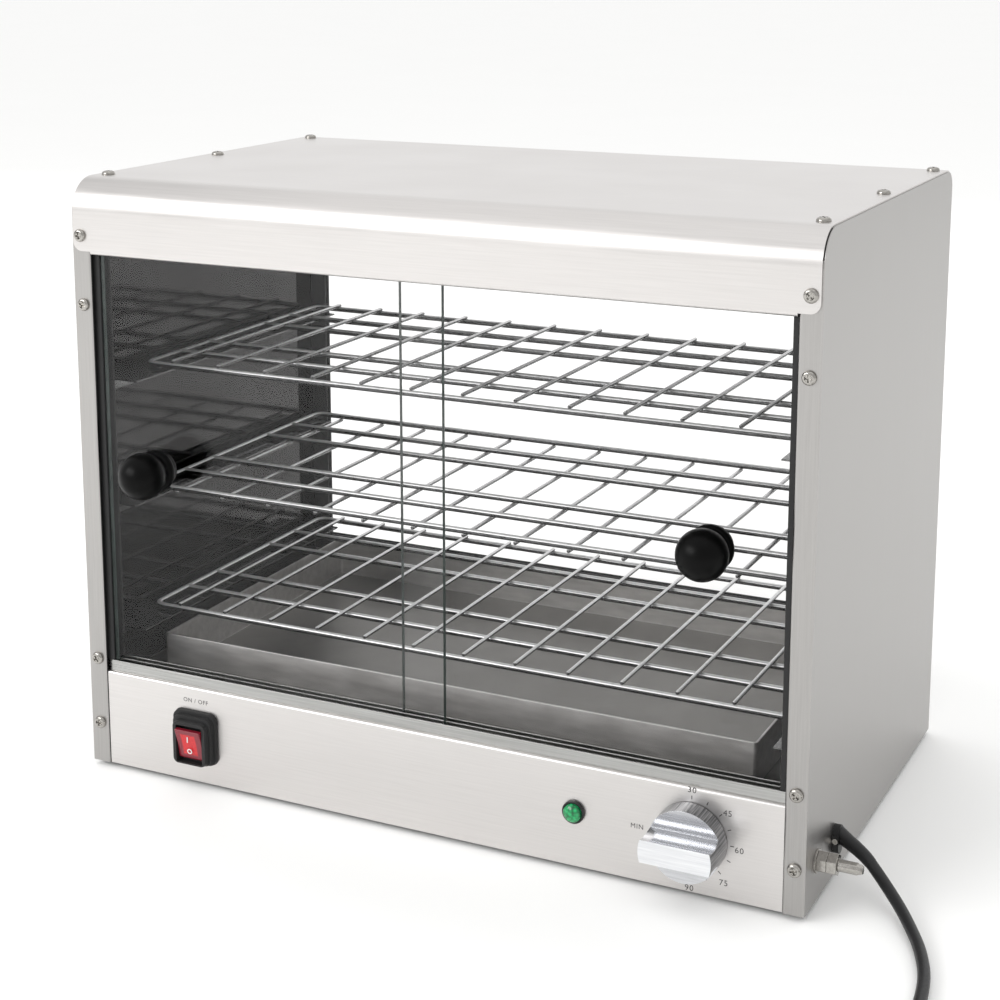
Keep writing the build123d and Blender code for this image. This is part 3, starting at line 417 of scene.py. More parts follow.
def clear_red(colour):
    # Translucent red polycarbonate over a lamp: its colour is painted bright in the middle as painted glow,
    # and dark at its border as painted shade.
    low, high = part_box("power_rocker")
    middle = (low + high) / 2
    # It is lit to the first distance from its middle and dark from the second on, measured in height.
    lit, dark, tallness = 7.6 * mm, 9.0 * mm, 1.35
    material, tree, shader, place = start_material("red_polycarbonate_painted_glow", Roughness=0.22, IOR=1.58)
    moved = add_node(tree, "ShaderNodeMapping", {"Location": (-middle.x, 0, -middle.z)}, {"Vector": place})
    parts = add_node(tree, "ShaderNodeSeparateXYZ", links={"Vector": moved.outputs["Vector"]})
    across = add_node(tree, "ShaderNodeMath", {"operation": "ABSOLUTE"}, {0: parts.outputs["X"]})
    upright = add_node(tree, "ShaderNodeMath", {"operation": "ABSOLUTE"}, {0: parts.outputs["Z"]})
    wide = add_node(tree, "ShaderNodeMath", {"operation": "MULTIPLY", 1: tallness},
                    {0: across.outputs["Value"]})
    reach = add_node(tree, "ShaderNodeMath", {"operation": "MAXIMUM"},
                     {0: wide.outputs["Value"], 1: upright.outputs["Value"]})
    fade = {"From Min": lit, "From Max": dark, "To Min": 1.0, "To Max": 0.0}
    glow = add_node(tree, "ShaderNodeMapRange", fade, {"Value": reach.outputs["Value"]})
    ribs = grain(tree, place, (1.5 * mm, 1.5 * mm, 1.5 * mm))
    bright = clouded(tree, ribs, "#b3121c", colour)
    # Painted glow in the middle, painted shade at the border.
    shade = add_node(tree, "ShaderNodeMix", {"data_type": "RGBA", 6: linear("#7c1c2a")},
                     {0: glow.outputs["Result"], 7: bright})
    tree.links.new(shade.outputs[2], shader.inputs["Base Color"])
    return material


def clear_green(colour):
    # Translucent green lens with a fine prism pattern inside.
    material, tree, shader, place = start_material("clear_green_polycarbonate", Roughness=0.12, IOR=1.58)
    cells = add_node(tree, "ShaderNodeTexVoronoi", {"Scale": 420.0}, {"Vector": place})
    sparkle = add_node(tree, "ShaderNodeMapRange", {"From Max": 0.8}, {"Value": cells.outputs["Distance"]})
    prism = add_node(tree, "ShaderNodeMix", {"data_type": "RGBA", 6: linear(colour), 7: linear("#04502c")},
                     {0: sparkle.outputs["Result"]})
    tree.links.new(prism.outputs[2], shader.inputs["Base Color"])
    tree.links.new(prism.outputs[2], shader.inputs["Emission Color"])
    shader.inputs["Emission Strength"].default_value = 0.25
    return material


FINISHES = {}


def make_finishes():
    colours = bpy.context.scene.warmer_colours
    FINISHES.update(
        hood=satin_stainless("hood_brushed_stainless", colours.steel, "#cecbc9"),
        panel=satin_stainless("panel_brushed_stainless", "#d9d6d4", "#d3d0ce"),
        # The deck is a darker copy of the brushed stainless, as painted shade inside the cabinet.
        deck=satin_stainless("deck_stainless_painted_shade", "#989694", "#8e8c8a"),
        sides=two_sided_stainless(),
        # As rolled sheet inside: bright, a little wavy and without scratches. Its colour is darkened as
        # painted shade inside the cabinet.
        bright=rolled("inner_stainless_painted_shade", "#6c6c6c", "#5f5f5f", 0.12, (30 * mm, 30 * mm, 4 * mm)),
        tray=rolled("tray_pressed_stainless", "#dedcda", "#cbc9c7", 0.45, (25 * mm, 6 * mm, 6 * mm)),
        # The tray's floor is darkened as painted shade inside the tray.
        tray_floor=rolled("tray_floor_painted_shade", "#8c8a87", "#7d7b78", 0.4, (18 * mm, 18 * mm, 18 * mm)),
        track=rolled("drawn_aluminium_track", "#b9b9b7", "#a3a3a1", 0.3, (80 * mm, 1 * mm, 1 * mm)),
        # Galvanised steel shows large dull crystals.
        galvanised=rolled("galvanised_steel", "#a4a6a6", "#838686", 0.42, (9 * mm, 9 * mm, 9 * mm)),
        wire=rolled("plated_wire_painted_shade", "#5c5c5d", "#4a4a4b", 0.2, (5 * mm, 5 * mm, 5 * mm)),
        # The tops of the wires are painted pale and dull as painted highlight, and the rest of each wire is
        # painted dark as painted shade.
        wire_top=rolled("plated_wire_painted_highlight", "#f0f0f0", "#dcdcdc", 0.4, (5 * mm, 5 * mm, 5 * mm),
                        metallic=0.55),
        nickel=rolled("nickel_plated_steel", "#b3b0ab", "#9c9994", 0.18, (1.5 * mm, 1.5 * mm, 1.5 * mm)),
        # Little light reaches the bottom of a driver recess.
        recess=rolled("shaded_driver_recess", "#3b3937", "#2c2a29", 0.4, (1.5 * mm, 1.5 * mm, 1.5 * mm)),
        chrome=rolled("chrome_plated_dial", "#d6d7da", "#c2c3c6", 0.2, (30 * mm, 1.2 * mm, 1.2 * mm)),
        # The skirt is painted dark as painted shade, with thin pale stripes of painted highlight, as if fine
        # teeth caught the light.
        chrome_side=rolled("chrome_skirt_painted_shade", "#b4b5b7", "#55565a", 0.3, (0.9 * mm, 40 * mm, 0.9 * mm)),
        # The bar's front is brushed before it is plated, and its colour is a lighter copy of the chrome as
        # painted highlight, so it stays bright all over.
        chrome_face=rolled("chrome_face_painted_highlight", "#f2f3f5", "#e4e5e8", 0.32, (30 * mm, 1.2 * mm, 1.2 * mm)),
        sheath=rolled("heated_nickel_alloy_sheath", "#4d4743", "#302c2a", 0.45, (12 * mm, 3 * mm, 3 * mm)),
        copper=rolled("bare_copper", "#b87a58", "#95583c", 0.32, (3 * mm, 3 * mm, 9 * mm)),
        brass=rolled("bare_brass", "#c6a35c", "#a8863f", 0.28, (3 * mm, 3 * mm, 3 * mm)),
        glass=float_glass(),
        glass_edge=glass_edge(),
        # EPDM rubber: black and dull, a little grey where it rubs.
        rubber=moulded("black_epdm_rubber", colours.rubber, 0.62),
        # Phenolic resin: deep black. The photograph shows the balls with almost no gloss.
        phenolic=moulded("black_phenolic", "#050505", 0.34, pit=4 * mm, depth=0, Specular_IOR_Level=0.1),
        nylon=moulded("black_nylon", "#141415", 0.42),
        pvc=moulded("black_pvc_sheath", "#18181a", 0.46, pit=1.2 * mm, depth=0.03 * mm),
        melamine=moulded("cream_melamine", "#d9d3c4", 0.4),
        ink=moulded("grey_screen_ink", "#3b3a3a", 0.5),
        white_ink=moulded("white_pad_ink", "#f2eeee", 0.45),
        red=clear_red(colours.rocker),
        green=clear_green(colours.lamp),
    )


# Operators


def refine_each(*rows):
    """Refines nodes, one a row: node, name, finish, width of the edge in mm and its segments."""
    for node, name, finish, edge, segments in rows:
        refine(node, name, FINISHES[finish], edge * mm, segments)


class WARMER_OT_shell(bpy.types.Operator):
    """Hood, side sheets, control panel, back and floor of the body"""
    bl_idname = "warmer.shell"
    bl_label = "Body shell"

    def execute(self, context):
        refine_each(
            ("top_cover", "hood_cover", "hood", 0.25, 2),
            ("left_side_panel", "side_sheet_left", "sides", 0.2, 2),
            ("right_side_panel", "side_sheet_right", "sides", 0.2, 2),
            ("control_panel", "fascia_panel", "panel", 0.3, 2),
            ("rear_panel", "back_plate", "hood", 0.3, 2),
            ("ceiling_panel", "ceiling_sheet", "bright", 0.3, 2),
            ("floor_deck", "deck_sheet", "deck", 0.3, 2),
            ("base_pan", "underside_pan", "galvanised", 0.3, 2),
            ("bottom_track", "door_track_low", "track", 0.25, 2),
            ("top_track", "door_track_high", "track", 0.25, 2),
            ("feet", "rubber_feet", "rubber", 0.6, 3),
            ("foot_screws", "foot_screw_heads", "nickel", 0.3, 2),
        )
        return {"FINISHED"}


class WARMER_OT_glazing(bpy.types.Operator):
    """Door panes, rear pane and the rubber round it"""
    bl_idname = "warmer.glazing"
    bl_label = "Glass and seals"

    def execute(self, context):
        for node in ("left_door_glass", "right_door_glass", "rear_glass"):
            pane = refine(node, node + "_pane", [FINISHES["glass"], FINISHES["glass_edge"]], 0.4 * mm, 2)
            for face in pane.data.polygons:
                face.material_index = 0 if abs(face.normal.y) > 0.9 else 1
        refine("rear_glass_seal", "glazing_rubber", FINISHES["rubber"], 1.0 * mm, 3)
        refine("door_buffers", "door_stop_rubbers", FINISHES["rubber"], 0.8 * mm, 3)
        return {"FINISHED"}


class WARMER_OT_door_knobs(bpy.types.Operator):
    """A black ball with a disc behind it on a neck at each door, and the screw behind the glass"""
    bl_idname = "warmer.door_knobs"
    bl_label = "Door knobs"

    ball_rings = 30
    # Radius and height over the glass of the rings behind the ball, in mm. Below the disc the neck is slim,
    # because the front door's edge comes up to it there.
    rear_rings = (
        (13.9, 15.8), (13.7, 14.6), (13.9, 13.5), (14.5, 12.6), (15.2, 11.6), (15.4, 10.2), (15.4, 8.2),
        (15.0, 7.2), (14.2, 6.8), (12.4, 6.6), (12.3, 5.5), (12.3, 0.6), (11.7, 0.0), (0.0, 0.0))

    def turned(self, radius, to_glass):
        """A ball facing +Z whose rear rings are drawn out to the disc and the neck."""
        rings = self.ball_rings + len(self.rear_rings)
        bpy.ops.mesh.primitive_uv_sphere_add(segments=56, ring_count=rings, radius=radius)
        knob = bpy.context.active_object
        for vertex in knob.data.vertices:
            ring = round(vertex.co.angle(Vector((0, 0, 1))) / math.pi * rings)
            if ring > self.ball_rings:
                reach, level = self.rear_rings[ring - self.ball_rings - 1]
                spoke = Vector((vertex.co.x, vertex.co.y, 0)).normalized()
                vertex.co = spoke * reach * mm + Vector((0, 0, level * mm - to_glass))
        return knob

    def execute(self, context):
        radius = context.scene.warmer_sizes.ball
        for side in ("left", "right"):
            node = f"{side}_door_knob"
            low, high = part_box(node)
            ball_centre = Vector(((low.x + high.x) / 2, low.y + radius, (low.z + high.z) / 2))
            knob = self.turned(radius, high.y - ball_centre.y)
            knob.matrix_world = Matrix.Translation(ball_centre) @ TO_FRONT
            smooth(settle(knob), 50)
            carry(knob, f"{side}_ball_knob", FINISHES["phenolic"], node, node)
            refine(f"{side}_knob_screw", f"{side}_knob_screw_head", FINISHES["nickel"], 0.3 * mm, 3)
        return {"FINISHED"}


class WARMER_OT_shelves(bpy.types.Operator):
    """Three welded wire shelves with round wires"""
    bl_idname = "warmer.shelves"
    bl_label = "Wire shelves"

    bend = 8.0 * mm
    cross_places = (-80 * mm, -40 * mm, 40 * mm, 80 * mm)
    pitch = 41.2 * mm
    count = 13
    sink = 0.3 * mm
    # Faces that look up more than this get the pale painted highlight; the rest keep the dark painted shade
    painted_light_rise = 0.4
    # The wires from front to back end this share of their radius outside the rim's middle.
    overhang = 0.8

    def rim(self, middle, half_width, half_depth, radius):
        bpy.ops.mesh.primitive_plane_add(size=2)
        ring = bpy.context.active_object
        ring.matrix_world = Matrix.Translation(middle) @ Matrix.Diagonal((half_width, half_depth, 1, 1))
        settle(ring)
        edit(
            ring,
            lambda: bpy.ops.mesh.delete(type="ONLY_FACE"),
            lambda: bpy.ops.mesh.select_all(action="SELECT"),
            lambda: bpy.ops.mesh.bevel(offset=self.bend, affect="VERTICES", segments=6),
        )
        bpy.ops.object.convert(target="CURVE")
        ring = bpy.context.active_object
        ring.data.bevel_depth = radius
        ring.data.bevel_resolution = 5
        bpy.ops.object.convert(target="MESH")
        return smooth(bpy.context.active_object, 60)

    def wire(self, start, length, radius, turn):
        piece = cylinder(radius, length, start, 16, turn)
        return soften(piece, radius * 0.6, 3, 60)

    def execute(self, context):
        sizes = context.scene.warmer_sizes
        thick, thin = sizes.rim_wire / 2, sizes.thin_wire / 2
        for name, flip in (("top", 1), ("middle", -1), ("bottom", 1)):
            node = f"{name}_shelf"
            low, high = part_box(node)
            level = low.z + thick if flip > 0 else high.z - thick
            middle = Vector(((low.x + high.x) / 2, (low.y + high.y) / 2, level))
            half_width = (high.x - low.x) / 2 - thick
            half_depth = (high.y - low.y) / 2 - thick
            pieces = [self.rim(middle, half_width, half_depth, thick)]
            for place in self.cross_places:
                start = middle + Vector((-half_width, place, 0))
                pieces.append(self.wire(start, 2 * half_width, thick, TO_RIGHT))
            rise = flip * (thick + thin - self.sink)
            reach = half_depth + self.overhang * thin
            start = middle + Vector((-self.pitch * (self.count - 1) / 2, reach, rise))
            row = self.wire(start, 2 * reach, thin, TO_FRONT)
            apply_modifier(row, "ARRAY", count=self.count, use_relative_offset=False,
                           use_constant_offset=True, constant_offset_displace=(self.pitch, 0, 0))
            pieces.append(row)
            # Two finishes on each wire: painted shade below and painted highlight on top.
            finishes = [FINISHES["wire"], FINISHES["wire_top"]]
            shelf = carry(merge(node, pieces), f"{name}_wire_shelf", finishes, node, node)
            for face in shelf.data.polygons:
                face.material_index = int(face.normal.z > self.painted_light_rise)
        return {"FINISHED"}


class WARMER_OT_runners(bpy.types.Operator):
    """Six folded runners that carry the shelves"""
    bl_idname = "warmer.runners"
    bl_label = "Shelf runners"

    def execute(self, context):
        for side in ("left", "right"):
            for level in ("top", "middle", "bottom"):
                node = f"{side}_{level}_runner"
                refine(node, node + "_ledge", FINISHES["bright"], 0.25 * mm)
        return {"FINISHED"}


class WARMER_OT_tray(bpy.types.Operator):
    """The crumb tray with its hemmed rim"""
    bl_idname = "warmer.tray"
    bl_label = "Crumb tray"

    # Level faces further than this under the rim belong to the floor
    hem = 3.0 * mm

    def execute(self, context):
        finishes = [FINISHES["tray"], FINISHES["tray_floor"]]
        pan = refine("crumb_tray", "crumb_tray_pan", finishes, 0.35 * mm, 3)
        under_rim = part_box("crumb_tray")[1].z - self.hem
        # Level faces down in the tray get the painted shade of its floor.
        for face in pan.data.polygons:
            face.material_index = int(face.normal.z > 0.9 and face.center.z < under_rim)
        return {"FINISHED"}


class WARMER_OT_heater(bpy.types.Operator):
    """Heating element, thermostat body, bulb and wiring parts behind the panels"""
    bl_idname = "warmer.heater"
    bl_label = "Heater and controls inside"

    def execute(self, context):
        refine_each(
            ("heating_element", "element_tube", "sheath", 0, 2),
            ("element_clips", "element_hangers", "galvanised", 0.15, 2),
            ("thermostat_body", "thermostat_case", "galvanised", 0.5, 2),
            ("thermostat_shaft", "thermostat_spindle", "nickel", 0.3, 2),
            ("thermostat_bulb", "sensing_bulb", "copper", 0.5, 2),
            ("switch_body", "switch_case", "nylon", 0.4, 2),
            ("terminal_block", "terminal_strip", "melamine", 0.6, 2),
        )
        return {"FINISHED"}


class WARMER_OT_screws(bpy.types.Operator):
    """Domed screws with cross recesses on the strips, roof and back"""
    bl_idname = "warmer.screws"
    bl_label = "Screws"

    recess = 5.0 * mm
    recess_width = 1.2 * mm
    recess_depth = 1.6 * mm
    dome_share = 0.82
    shank = 2.45 * mm
    strip_inset = 7.5 * mm
    roof_inset = 10.5 * mm
    # Heights over the panel's lower edge and places behind the middle of the roof, in mm
    hood_height = 405
    strip_heights = (31.5, 82.7, 354)
    rear_heights = (20, 64, 405)
    roof_places = (-136, 6, 148)

    def head(self, radius, height):
        """One screw head on the ground. Its attribute marks the faces inside the recess."""
        dome = cylinder(radius, height, (0, 0, 0), 40)
        top = [v.index for v in dome.data.vertices if v.co.z > height / 2]
        pick(dome)
        for vertex in dome.data.vertices:
            vertex.select = vertex.index in top
        for edge in dome.data.edges:
            edge.select = all(v in top for v in edge.vertices)
        for face in dome.data.polygons:
            face.select = all(v in top for v in face.vertices)
        bpy.ops.object.mode_set(mode="EDIT")
        bpy.ops.mesh.select_mode(type="EDGE")
        bpy.ops.mesh.bevel(offset=height * self.dome_share, segments=8, profile=0.5, affect="EDGES")
        bpy.ops.object.mode_set(mode="OBJECT")
        half, thin = self.recess / 2, self.recess_width / 2
        floor = height - self.recess_depth
        slots = [
            block((-half, -thin, floor), (half, thin, height * 2)),
            block((-thin, -half, floor), (thin, half, height * 2)),
        ]
        cut(dome, *slots)
        soften(dome, 0.12 * mm, 2, 40)
        shade = dome.data.attributes.new("recess", "BOOLEAN", "FACE")
        for face in dome.data.polygons:
            across, along = sorted((abs(face.center.x), abs(face.center.y)))
            low = floor - 0.05 * mm < face.center.z < height - 0.35 * mm
            shade.data[face.index].value = along < half * 0.98 and low and across < thin * 1.02
        return dome

    def execute(self, context):
        sizes = context.scene.warmer_sizes
        head = self.head(sizes.screw_head, sizes.screw_dome)
        strip_x = (WALL_LEFT + self.strip_inset, WALL_RIGHT - self.strip_inset)
        roof_x = (WALL_LEFT + self.roof_inset, WALL_RIGHT - self.roof_inset)
        base = PANEL_LOW.z
        front = [(x, FRONT, base + self.hood_height * mm) for x in strip_x]
        front += [(x, FRONT + SHEET, base + z * mm) for x in strip_x for z in self.strip_heights]
        roof = [(x, CENTRE.y + y * mm, ROOF) for x in roof_x for y in self.roof_places]
        rear = [(x, BACK, base + z * mm) for x in strip_x for z in self.rear_heights]
        # Node, way it faces, length of shank and places
        groups = (
            ("strip_screws", TO_FRONT, 3.4 * mm, front),
            ("roof_screws", UPRIGHT, 4.6 * mm, roof),
            ("rear_screws", TO_BACK, 3.2 * mm, rear),
        )
        finishes = [FINISHES["nickel"], FINISHES["recess"]]
        for node, turn, length, places in groups:
            screws = []
            inward = turn @ Matrix.Rotation(math.pi, 4, "X")
            for i, place in enumerate(places):
                # Each recess stops at its own angle, as hand-driven screws do.
                spin = Matrix.Rotation(math.radians(37 * i + 12), 4, "Z")
                screws.append(copy_of(head, Matrix.Translation(place) @ turn @ spin))
                screws.append(cylinder(self.shank, length, place, 20, inward))
            row = carry(merge(node, screws), node + "_domed", finishes, node, node)
            shade = row.data.attributes["recess"]
            for face in row.data.polygons:
                face.material_index = int(shade.data[face.index].value)
        bpy.data.objects.remove(head)
        refine("clamp_screw", "cord_grip_screw", FINISHES["nickel"], 0.2 * mm)
        return {"FINISHED"}


class WARMER_OT_switch(bpy.types.Operator):
    """Rubber boot, red rocker with its two marks, and the words over it"""
    bl_idname = "warmer.switch"
    bl_label = "Power switch"

    label_size = 4.6 * mm
    label_height = 62.8 * mm
    swing = 16
    bar_half = Vector((0.45, 0.15, 2.2)) * mm
    ring_radius = 1.7 * mm
    ring_wire = 0.42 * mm
    # Places of the two marks, as shares of the rocker's height from its middle
    bar_share = 0.2
    ring_share = -0.22

    def execute(self, context):
        refine("switch_boot", "rocker_boot", FINISHES["rubber"], 0.7 * mm, 3)
        refine("power_rocker", "red_rocker", FINISHES["red"], 0.7 * mm, 3)
        low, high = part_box("power_rocker")
        middle = (low + high) / 2
        height = high.z - low.z
        # The rocker's face bends at mid height: its upper half leans out and its lower half leans in.
        front = low.y
        knee = front + height / 2 * math.tan(math.radians(self.swing))
        bar_place = Vector((middle.x, (front + knee) / 2 - 0.35 * mm, middle.z + height * self.bar_share))
        bar = soften(block(bar_place - self.bar_half, bar_place + self.bar_half), 0.1 * mm)
        bpy.ops.mesh.primitive_torus_add(major_radius=self.ring_radius, minor_radius=self.ring_wire,
                                         major_segments=36, minor_segments=8)
        ring = bpy.context.active_object
        lean = Matrix.Rotation(math.radians(99), 4, "X")
        ring_place = Vector((middle.x, knee + 0.55 * mm, middle.z + height * self.ring_share))
        ring.matrix_world = Matrix.Translation(ring_place) @ lean
        smooth(settle(ring), 60)
        carry(merge("marks", [bar, ring]), "rocker_marks", FINISHES["white_ink"], "power_rocker")
        label = printed("ON / OFF", self.label_size, middle.x, PANEL_LOW.z + self.label_height)
        carry(label, "switch_label", FINISHES["ink"], "control_panel")
        return {"FINISHED"}


def printed(words, size, x, z):
    """Flat letters on the control panel, centred on X and Z."""
    bpy.ops.object.text_add()
    letters = bpy.context.active_object
    letters.data.body = words
    letters.data.size = size
    letters.data.align_x = "CENTER"
    letters.data.align_y = "CENTER"
    letters.data.extrude = INK
    letters.data.resolution_u = 4
    letters.data.space_character = 1.15
    bpy.ops.object.convert(target="MESH")
    letters = bpy.context.active_object
    letters.matrix_world = Matrix.Translation((x, PANEL_FACE - INK, z)) @ TO_FRONT
    return settle(letters)


class WARMER_OT_lamp(bpy.types.Operator):
    """Indicator lamp: black bezel and green lens"""
    bl_idname = "warmer.lamp"
    bl_label = "Indicator lamp"

    def execute(self, context):
        refine_each(
            ("lamp_body", "lamp_bezel", "nylon", 0.5, 3),
            ("lamp_lens", "lamp_lens_green", "green", 0.3, 3),
        )
        return {"FINISHED"}


class WARMER_OT_dial(bpy.types.Operator):
    """Plated thermostat knob with its grip bar, and the printed scale round it"""
    bl_idname = "warmer.dial"
    bl_label = "Thermostat dial"

    depth = 31.5 * mm
    skirt = 13.0 * mm
    slope = 2.6 * mm
    grip_foot = 9.0 * mm
    grip_top = 8.6 * mm
    hollow = 2.4 * mm
    bore = 3.1 * mm
    edge = 0.6 * mm
    tick_start = 27.0 * mm
    tick_length = 2.6 * mm
    tick_half = 0.3 * mm
    tick_angles = [180] + [90 - 22.5 * i for i in range(9)]
    # Words, their height, and their place from the dial's middle to the right and up, in mm
    scale = (
        ("30", 5.8, 0, 33.4), ("45", 5.8, 24.7, 22.1), ("60", 5.8, 33.1, -2.1),
        ("75", 5.8, 22.9, -26.8), ("90", 5.8, -0.7, -35.5), ("MIN", 4.8, -38, 0))

    def hollow_cutter(self, flank, radius):
        """The block cut away beside the bar. Its inner wall bulges, which leaves a hollow for a finger."""
        bpy.ops.mesh.primitive_cube_add(size=1)
        cutter = bpy.context.active_object
        edit(cutter, lambda: bpy.ops.mesh.subdivide(number_cuts=7))
        far = radius * 1.2
        for vertex in cutter.data.vertices:
            out = 0.5 + flank * vertex.co.y
            up = 0.5 + vertex.co.z
            flare = self.grip_foot + (self.grip_top - self.grip_foot) * up
            near = flare - self.hollow * 4 * up * (1 - up)
            floor = self.skirt + self.slope * out
            vertex.co.x *= 2 * far
            vertex.co.y = flank * (near + (far - near) * out)
            vertex.co.z = floor + (self.depth + 2 * mm - floor) * up
        edit(cutter, lambda: bpy.ops.mesh.normals_make_consistent(inside=False))
        return cutter

    def knob(self, middle, radius):
        """Turned round +Z and then laid to the front, with the bar along X."""
        body = cylinder(radius, self.depth, (0, 0, 0), 128)
        bore = cylinder(self.bore, self.skirt / 2 + 1 * mm, (0, 0, -0.5 * mm), 32)
        cut(body, self.hollow_cutter(1, radius), self.hollow_cutter(-1, radius), bore)
        body.matrix_world = Matrix.Translation(middle) @ TO_FRONT
        return soften(settle(body), self.edge, 4, 30)

    def finish_of(self, face, middle, radius):
        """1 on the bar's front, 2 round the skirt and 0 elsewhere."""
        out = Vector((face.center.x - middle.x, 0, face.center.z - middle.z))
        if face.normal.y < -0.97 and face.center.y < middle.y - self.depth + 0.5 * mm:
            return 1
        round_side = abs(face.normal.y) < 0.2 and face.normal.dot(out) > 0.9 * out.length
        return 2 if round_side and out.length > radius - 0.5 * mm else 0

    def execute(self, context):
        radius = context.scene.warmer_sizes.dial
        low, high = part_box("thermostat_knob")
        middle = Vector(((low.x + high.x) / 2, high.y, (low.z + high.z) / 2))
        finishes = [FINISHES["chrome"], FINISHES["chrome_face"], FINISHES["chrome_side"]]
        knob = carry(self.knob(middle, radius), "dial_knob", finishes, "thermostat_knob", "thermostat_knob")
        # The bar's front gets the lighter chrome as painted highlight, and the skirt the darker striped
        # chrome as painted shade.
        for face in knob.data.polygons:
            face.material_index = self.finish_of(face, middle, radius)
        marks = []
        for angle in self.tick_angles:
            direction = Vector((math.cos(math.radians(angle)), 0, math.sin(math.radians(angle))))
            tick = block((-self.tick_half, -INK, 0), (self.tick_half, INK, self.tick_length))
            place = Vector((middle.x, PANEL_FACE, middle.z)) + direction * self.tick_start
            turn = Matrix.Rotation(math.radians(90 - angle), 4, "Y")
            tick.matrix_world = Matrix.Translation(place) @ turn
            marks.append(settle(tick))
        for words, size, x, z in self.scale:
            marks.append(printed(words, size * mm, middle.x + x * mm, middle.z + z * mm))
        carry(merge("marks", marks), "dial_scale", FINISHES["ink"], "control_panel")
        return {"FINISHED"}


class WARMER_OT_bonding_stud(bpy.types.Operator):
    """Bonding stud with its nuts and washer, and the clamp that holds the cord"""
    bl_idname = "warmer.bonding_stud"
    bl_label = "Stud and cord clamp"

    def execute(self, context):
        refine_each(
            ("earth_stud", "bonding_stud_rod", "nickel", 0.25, 2),
            ("earth_nuts", "bonding_nuts", "nickel", 0.35, 3),
            ("earth_washer", "bonding_washer", "nickel", 0.2, 2),
            ("cord_clamp", "cord_grip_block", "nylon", 0.8, 3),
        )
        return {"FINISHED"}


class WARMER_OT_cord(bpy.types.Operator):
    """Mains cord: its seen stretch, the put-away coil, the sleeve at the clamp and the plug"""
    bl_idname = "warmer.cord"
    bl_label = "Mains cord"

    coil_inner = 34.0 * mm
    coil_turns = 5
    coil_step = 5.2 * mm
    coil_layer = 8.6 * mm
    coil_lead = 8.0 * mm
    coil_tail = 28.0 * mm
    points_per_half_turn = 8
    sleeve_length = 21.0 * mm
    length = 1.84

    def route(self):
        """The points of the free stretch, and then those of the coil."""
        start = Vector((276.5, -87.15, 30.0)) * mm
        lie = 4.1 * mm
        # Steps in mm from the clamp, and then, for the part on the floor, the height over its lying place
        falling = ((0, 0, 0), (10.6, -3.9, -4.1), (20.9, -9.8, -11.5), (31.2, -18.1, -17.9))
        lying = (
            (42.2, -30.5, 3.4), (52.8, -47.3, 1.0), (64.8, -70.1, 0),
            (75.8, -103.0, 0), (80.5, -146.5, 0), (79.0, -187.0, 0))
        points = [start + Vector(step) * mm for step in falling]
        points += [Vector((start.x, start.y, lie)) + Vector(step) * mm for step in lying]
        outer = self.coil_inner + self.coil_turns * self.coil_step
        middle = points[-1] + Vector((outer, -self.coil_lead, 0))
        lower = [outer - i * self.coil_step for i in range(self.coil_turns + 1)]
        reaches = lower + lower[::-1]
        step = math.pi / self.points_per_half_turn
        # The spline runs inside its control points by this share, so they stand out by as much.
        stand_out = 4 / (3 + math.cos(step))
        for i in range(len(reaches) - 1):
            way = -1 if i % 2 == 0 else 1
            near = Vector((way * reaches[i], 0, self.coil_layer if i > self.coil_turns else 0))
            far = Vector((-way * reaches[i + 1], 0, self.coil_layer if i >= self.coil_turns else 0))
            centre = (near + far) / 2
            side = Vector((0, way * (far - near).length / 2, 0))
            for k in range(self.points_per_half_turn):
                angle = step * (k + 0.5)
                spoke = (near - centre) * math.cos(angle) + side * math.sin(angle)
                points.append(middle + centre + spoke * stand_out)
        end = middle + Vector((outer, 0, self.coil_layer))
        points.append(end + Vector((0, self.coil_tail / 2, 0)))
        points.append(end + Vector((0, self.coil_tail, 0)))
        return points

    def line(self, points, name, kind):
        curve = bpy.data.curves.new(name, "CURVE")
        curve.dimensions = "3D"
        spline = curve.splines.new(kind)
        spline.points.add(len(points) - 1)
        for point, place in zip(spline.points, points):
            point.co = (*place, 1)
        spline.order_u = 3
        spline.use_endpoint_u = True
        curve.resolution_u = 6
        piece = bpy.data.objects.new(name, curve)
        bpy.context.scene.collection.objects.link(piece)
        return piece

    def sleeve(self, flex):
        """A short tapered relief that follows the cord's own line out of the clamp."""
        bevel = flex.data.bevel_depth
        flex.data.bevel_depth = 0
        dg = bpy.context.evaluated_depsgraph_get()
        path = bpy.data.meshes.new_from_object(flex.evaluated_get(dg))
        flex.data.bevel_depth = bevel
        places = [v.co.copy() for v in path.vertices]
        kept, run = [places[0]], 0.0
        for before, after in zip(places, places[1:]):
            run += (after - before).length
            if run > self.sleeve_length:
                break
            kept.append(after)
        piece = pick(self.line(kept, "sleeve", "POLY"))
        for i, point in enumerate(piece.data.splines[0].points):
            point.radius = 1.22 - 0.18 * i / (len(kept) - 1)
        piece.data.bevel_depth = bevel
        piece.data.bevel_resolution = 6
        piece.data.use_fill_caps = True
        bpy.ops.object.convert(target="MESH")
        return smooth(bpy.context.active_object, 50)

    def execute(self, context):
        diameter = context.scene.warmer_sizes.cord
        points = self.route()
        flex = self.line(points, "mains_cord", "NURBS")
        flex.data.bevel_depth = diameter / 2
        flex.data.bevel_resolution = 5
        flex.data.use_fill_caps = True
        flex.data.materials.append(FINISHES["pvc"])
        sleeve = carry(self.sleeve(flex), "cord_sleeve", FINISHES["pvc"], "power_cord")
        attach(flex, "cabinet")
        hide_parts("power_cord", "cord_coil")
        plug = refine("plug_body", "plug_shell", FINISHES["rubber"], 1.2 * mm, 3)
        pins = refine("plug_pins", "plug_blades", FINISHES["brass"], 0.3 * mm)
        return {"FINISHED"}


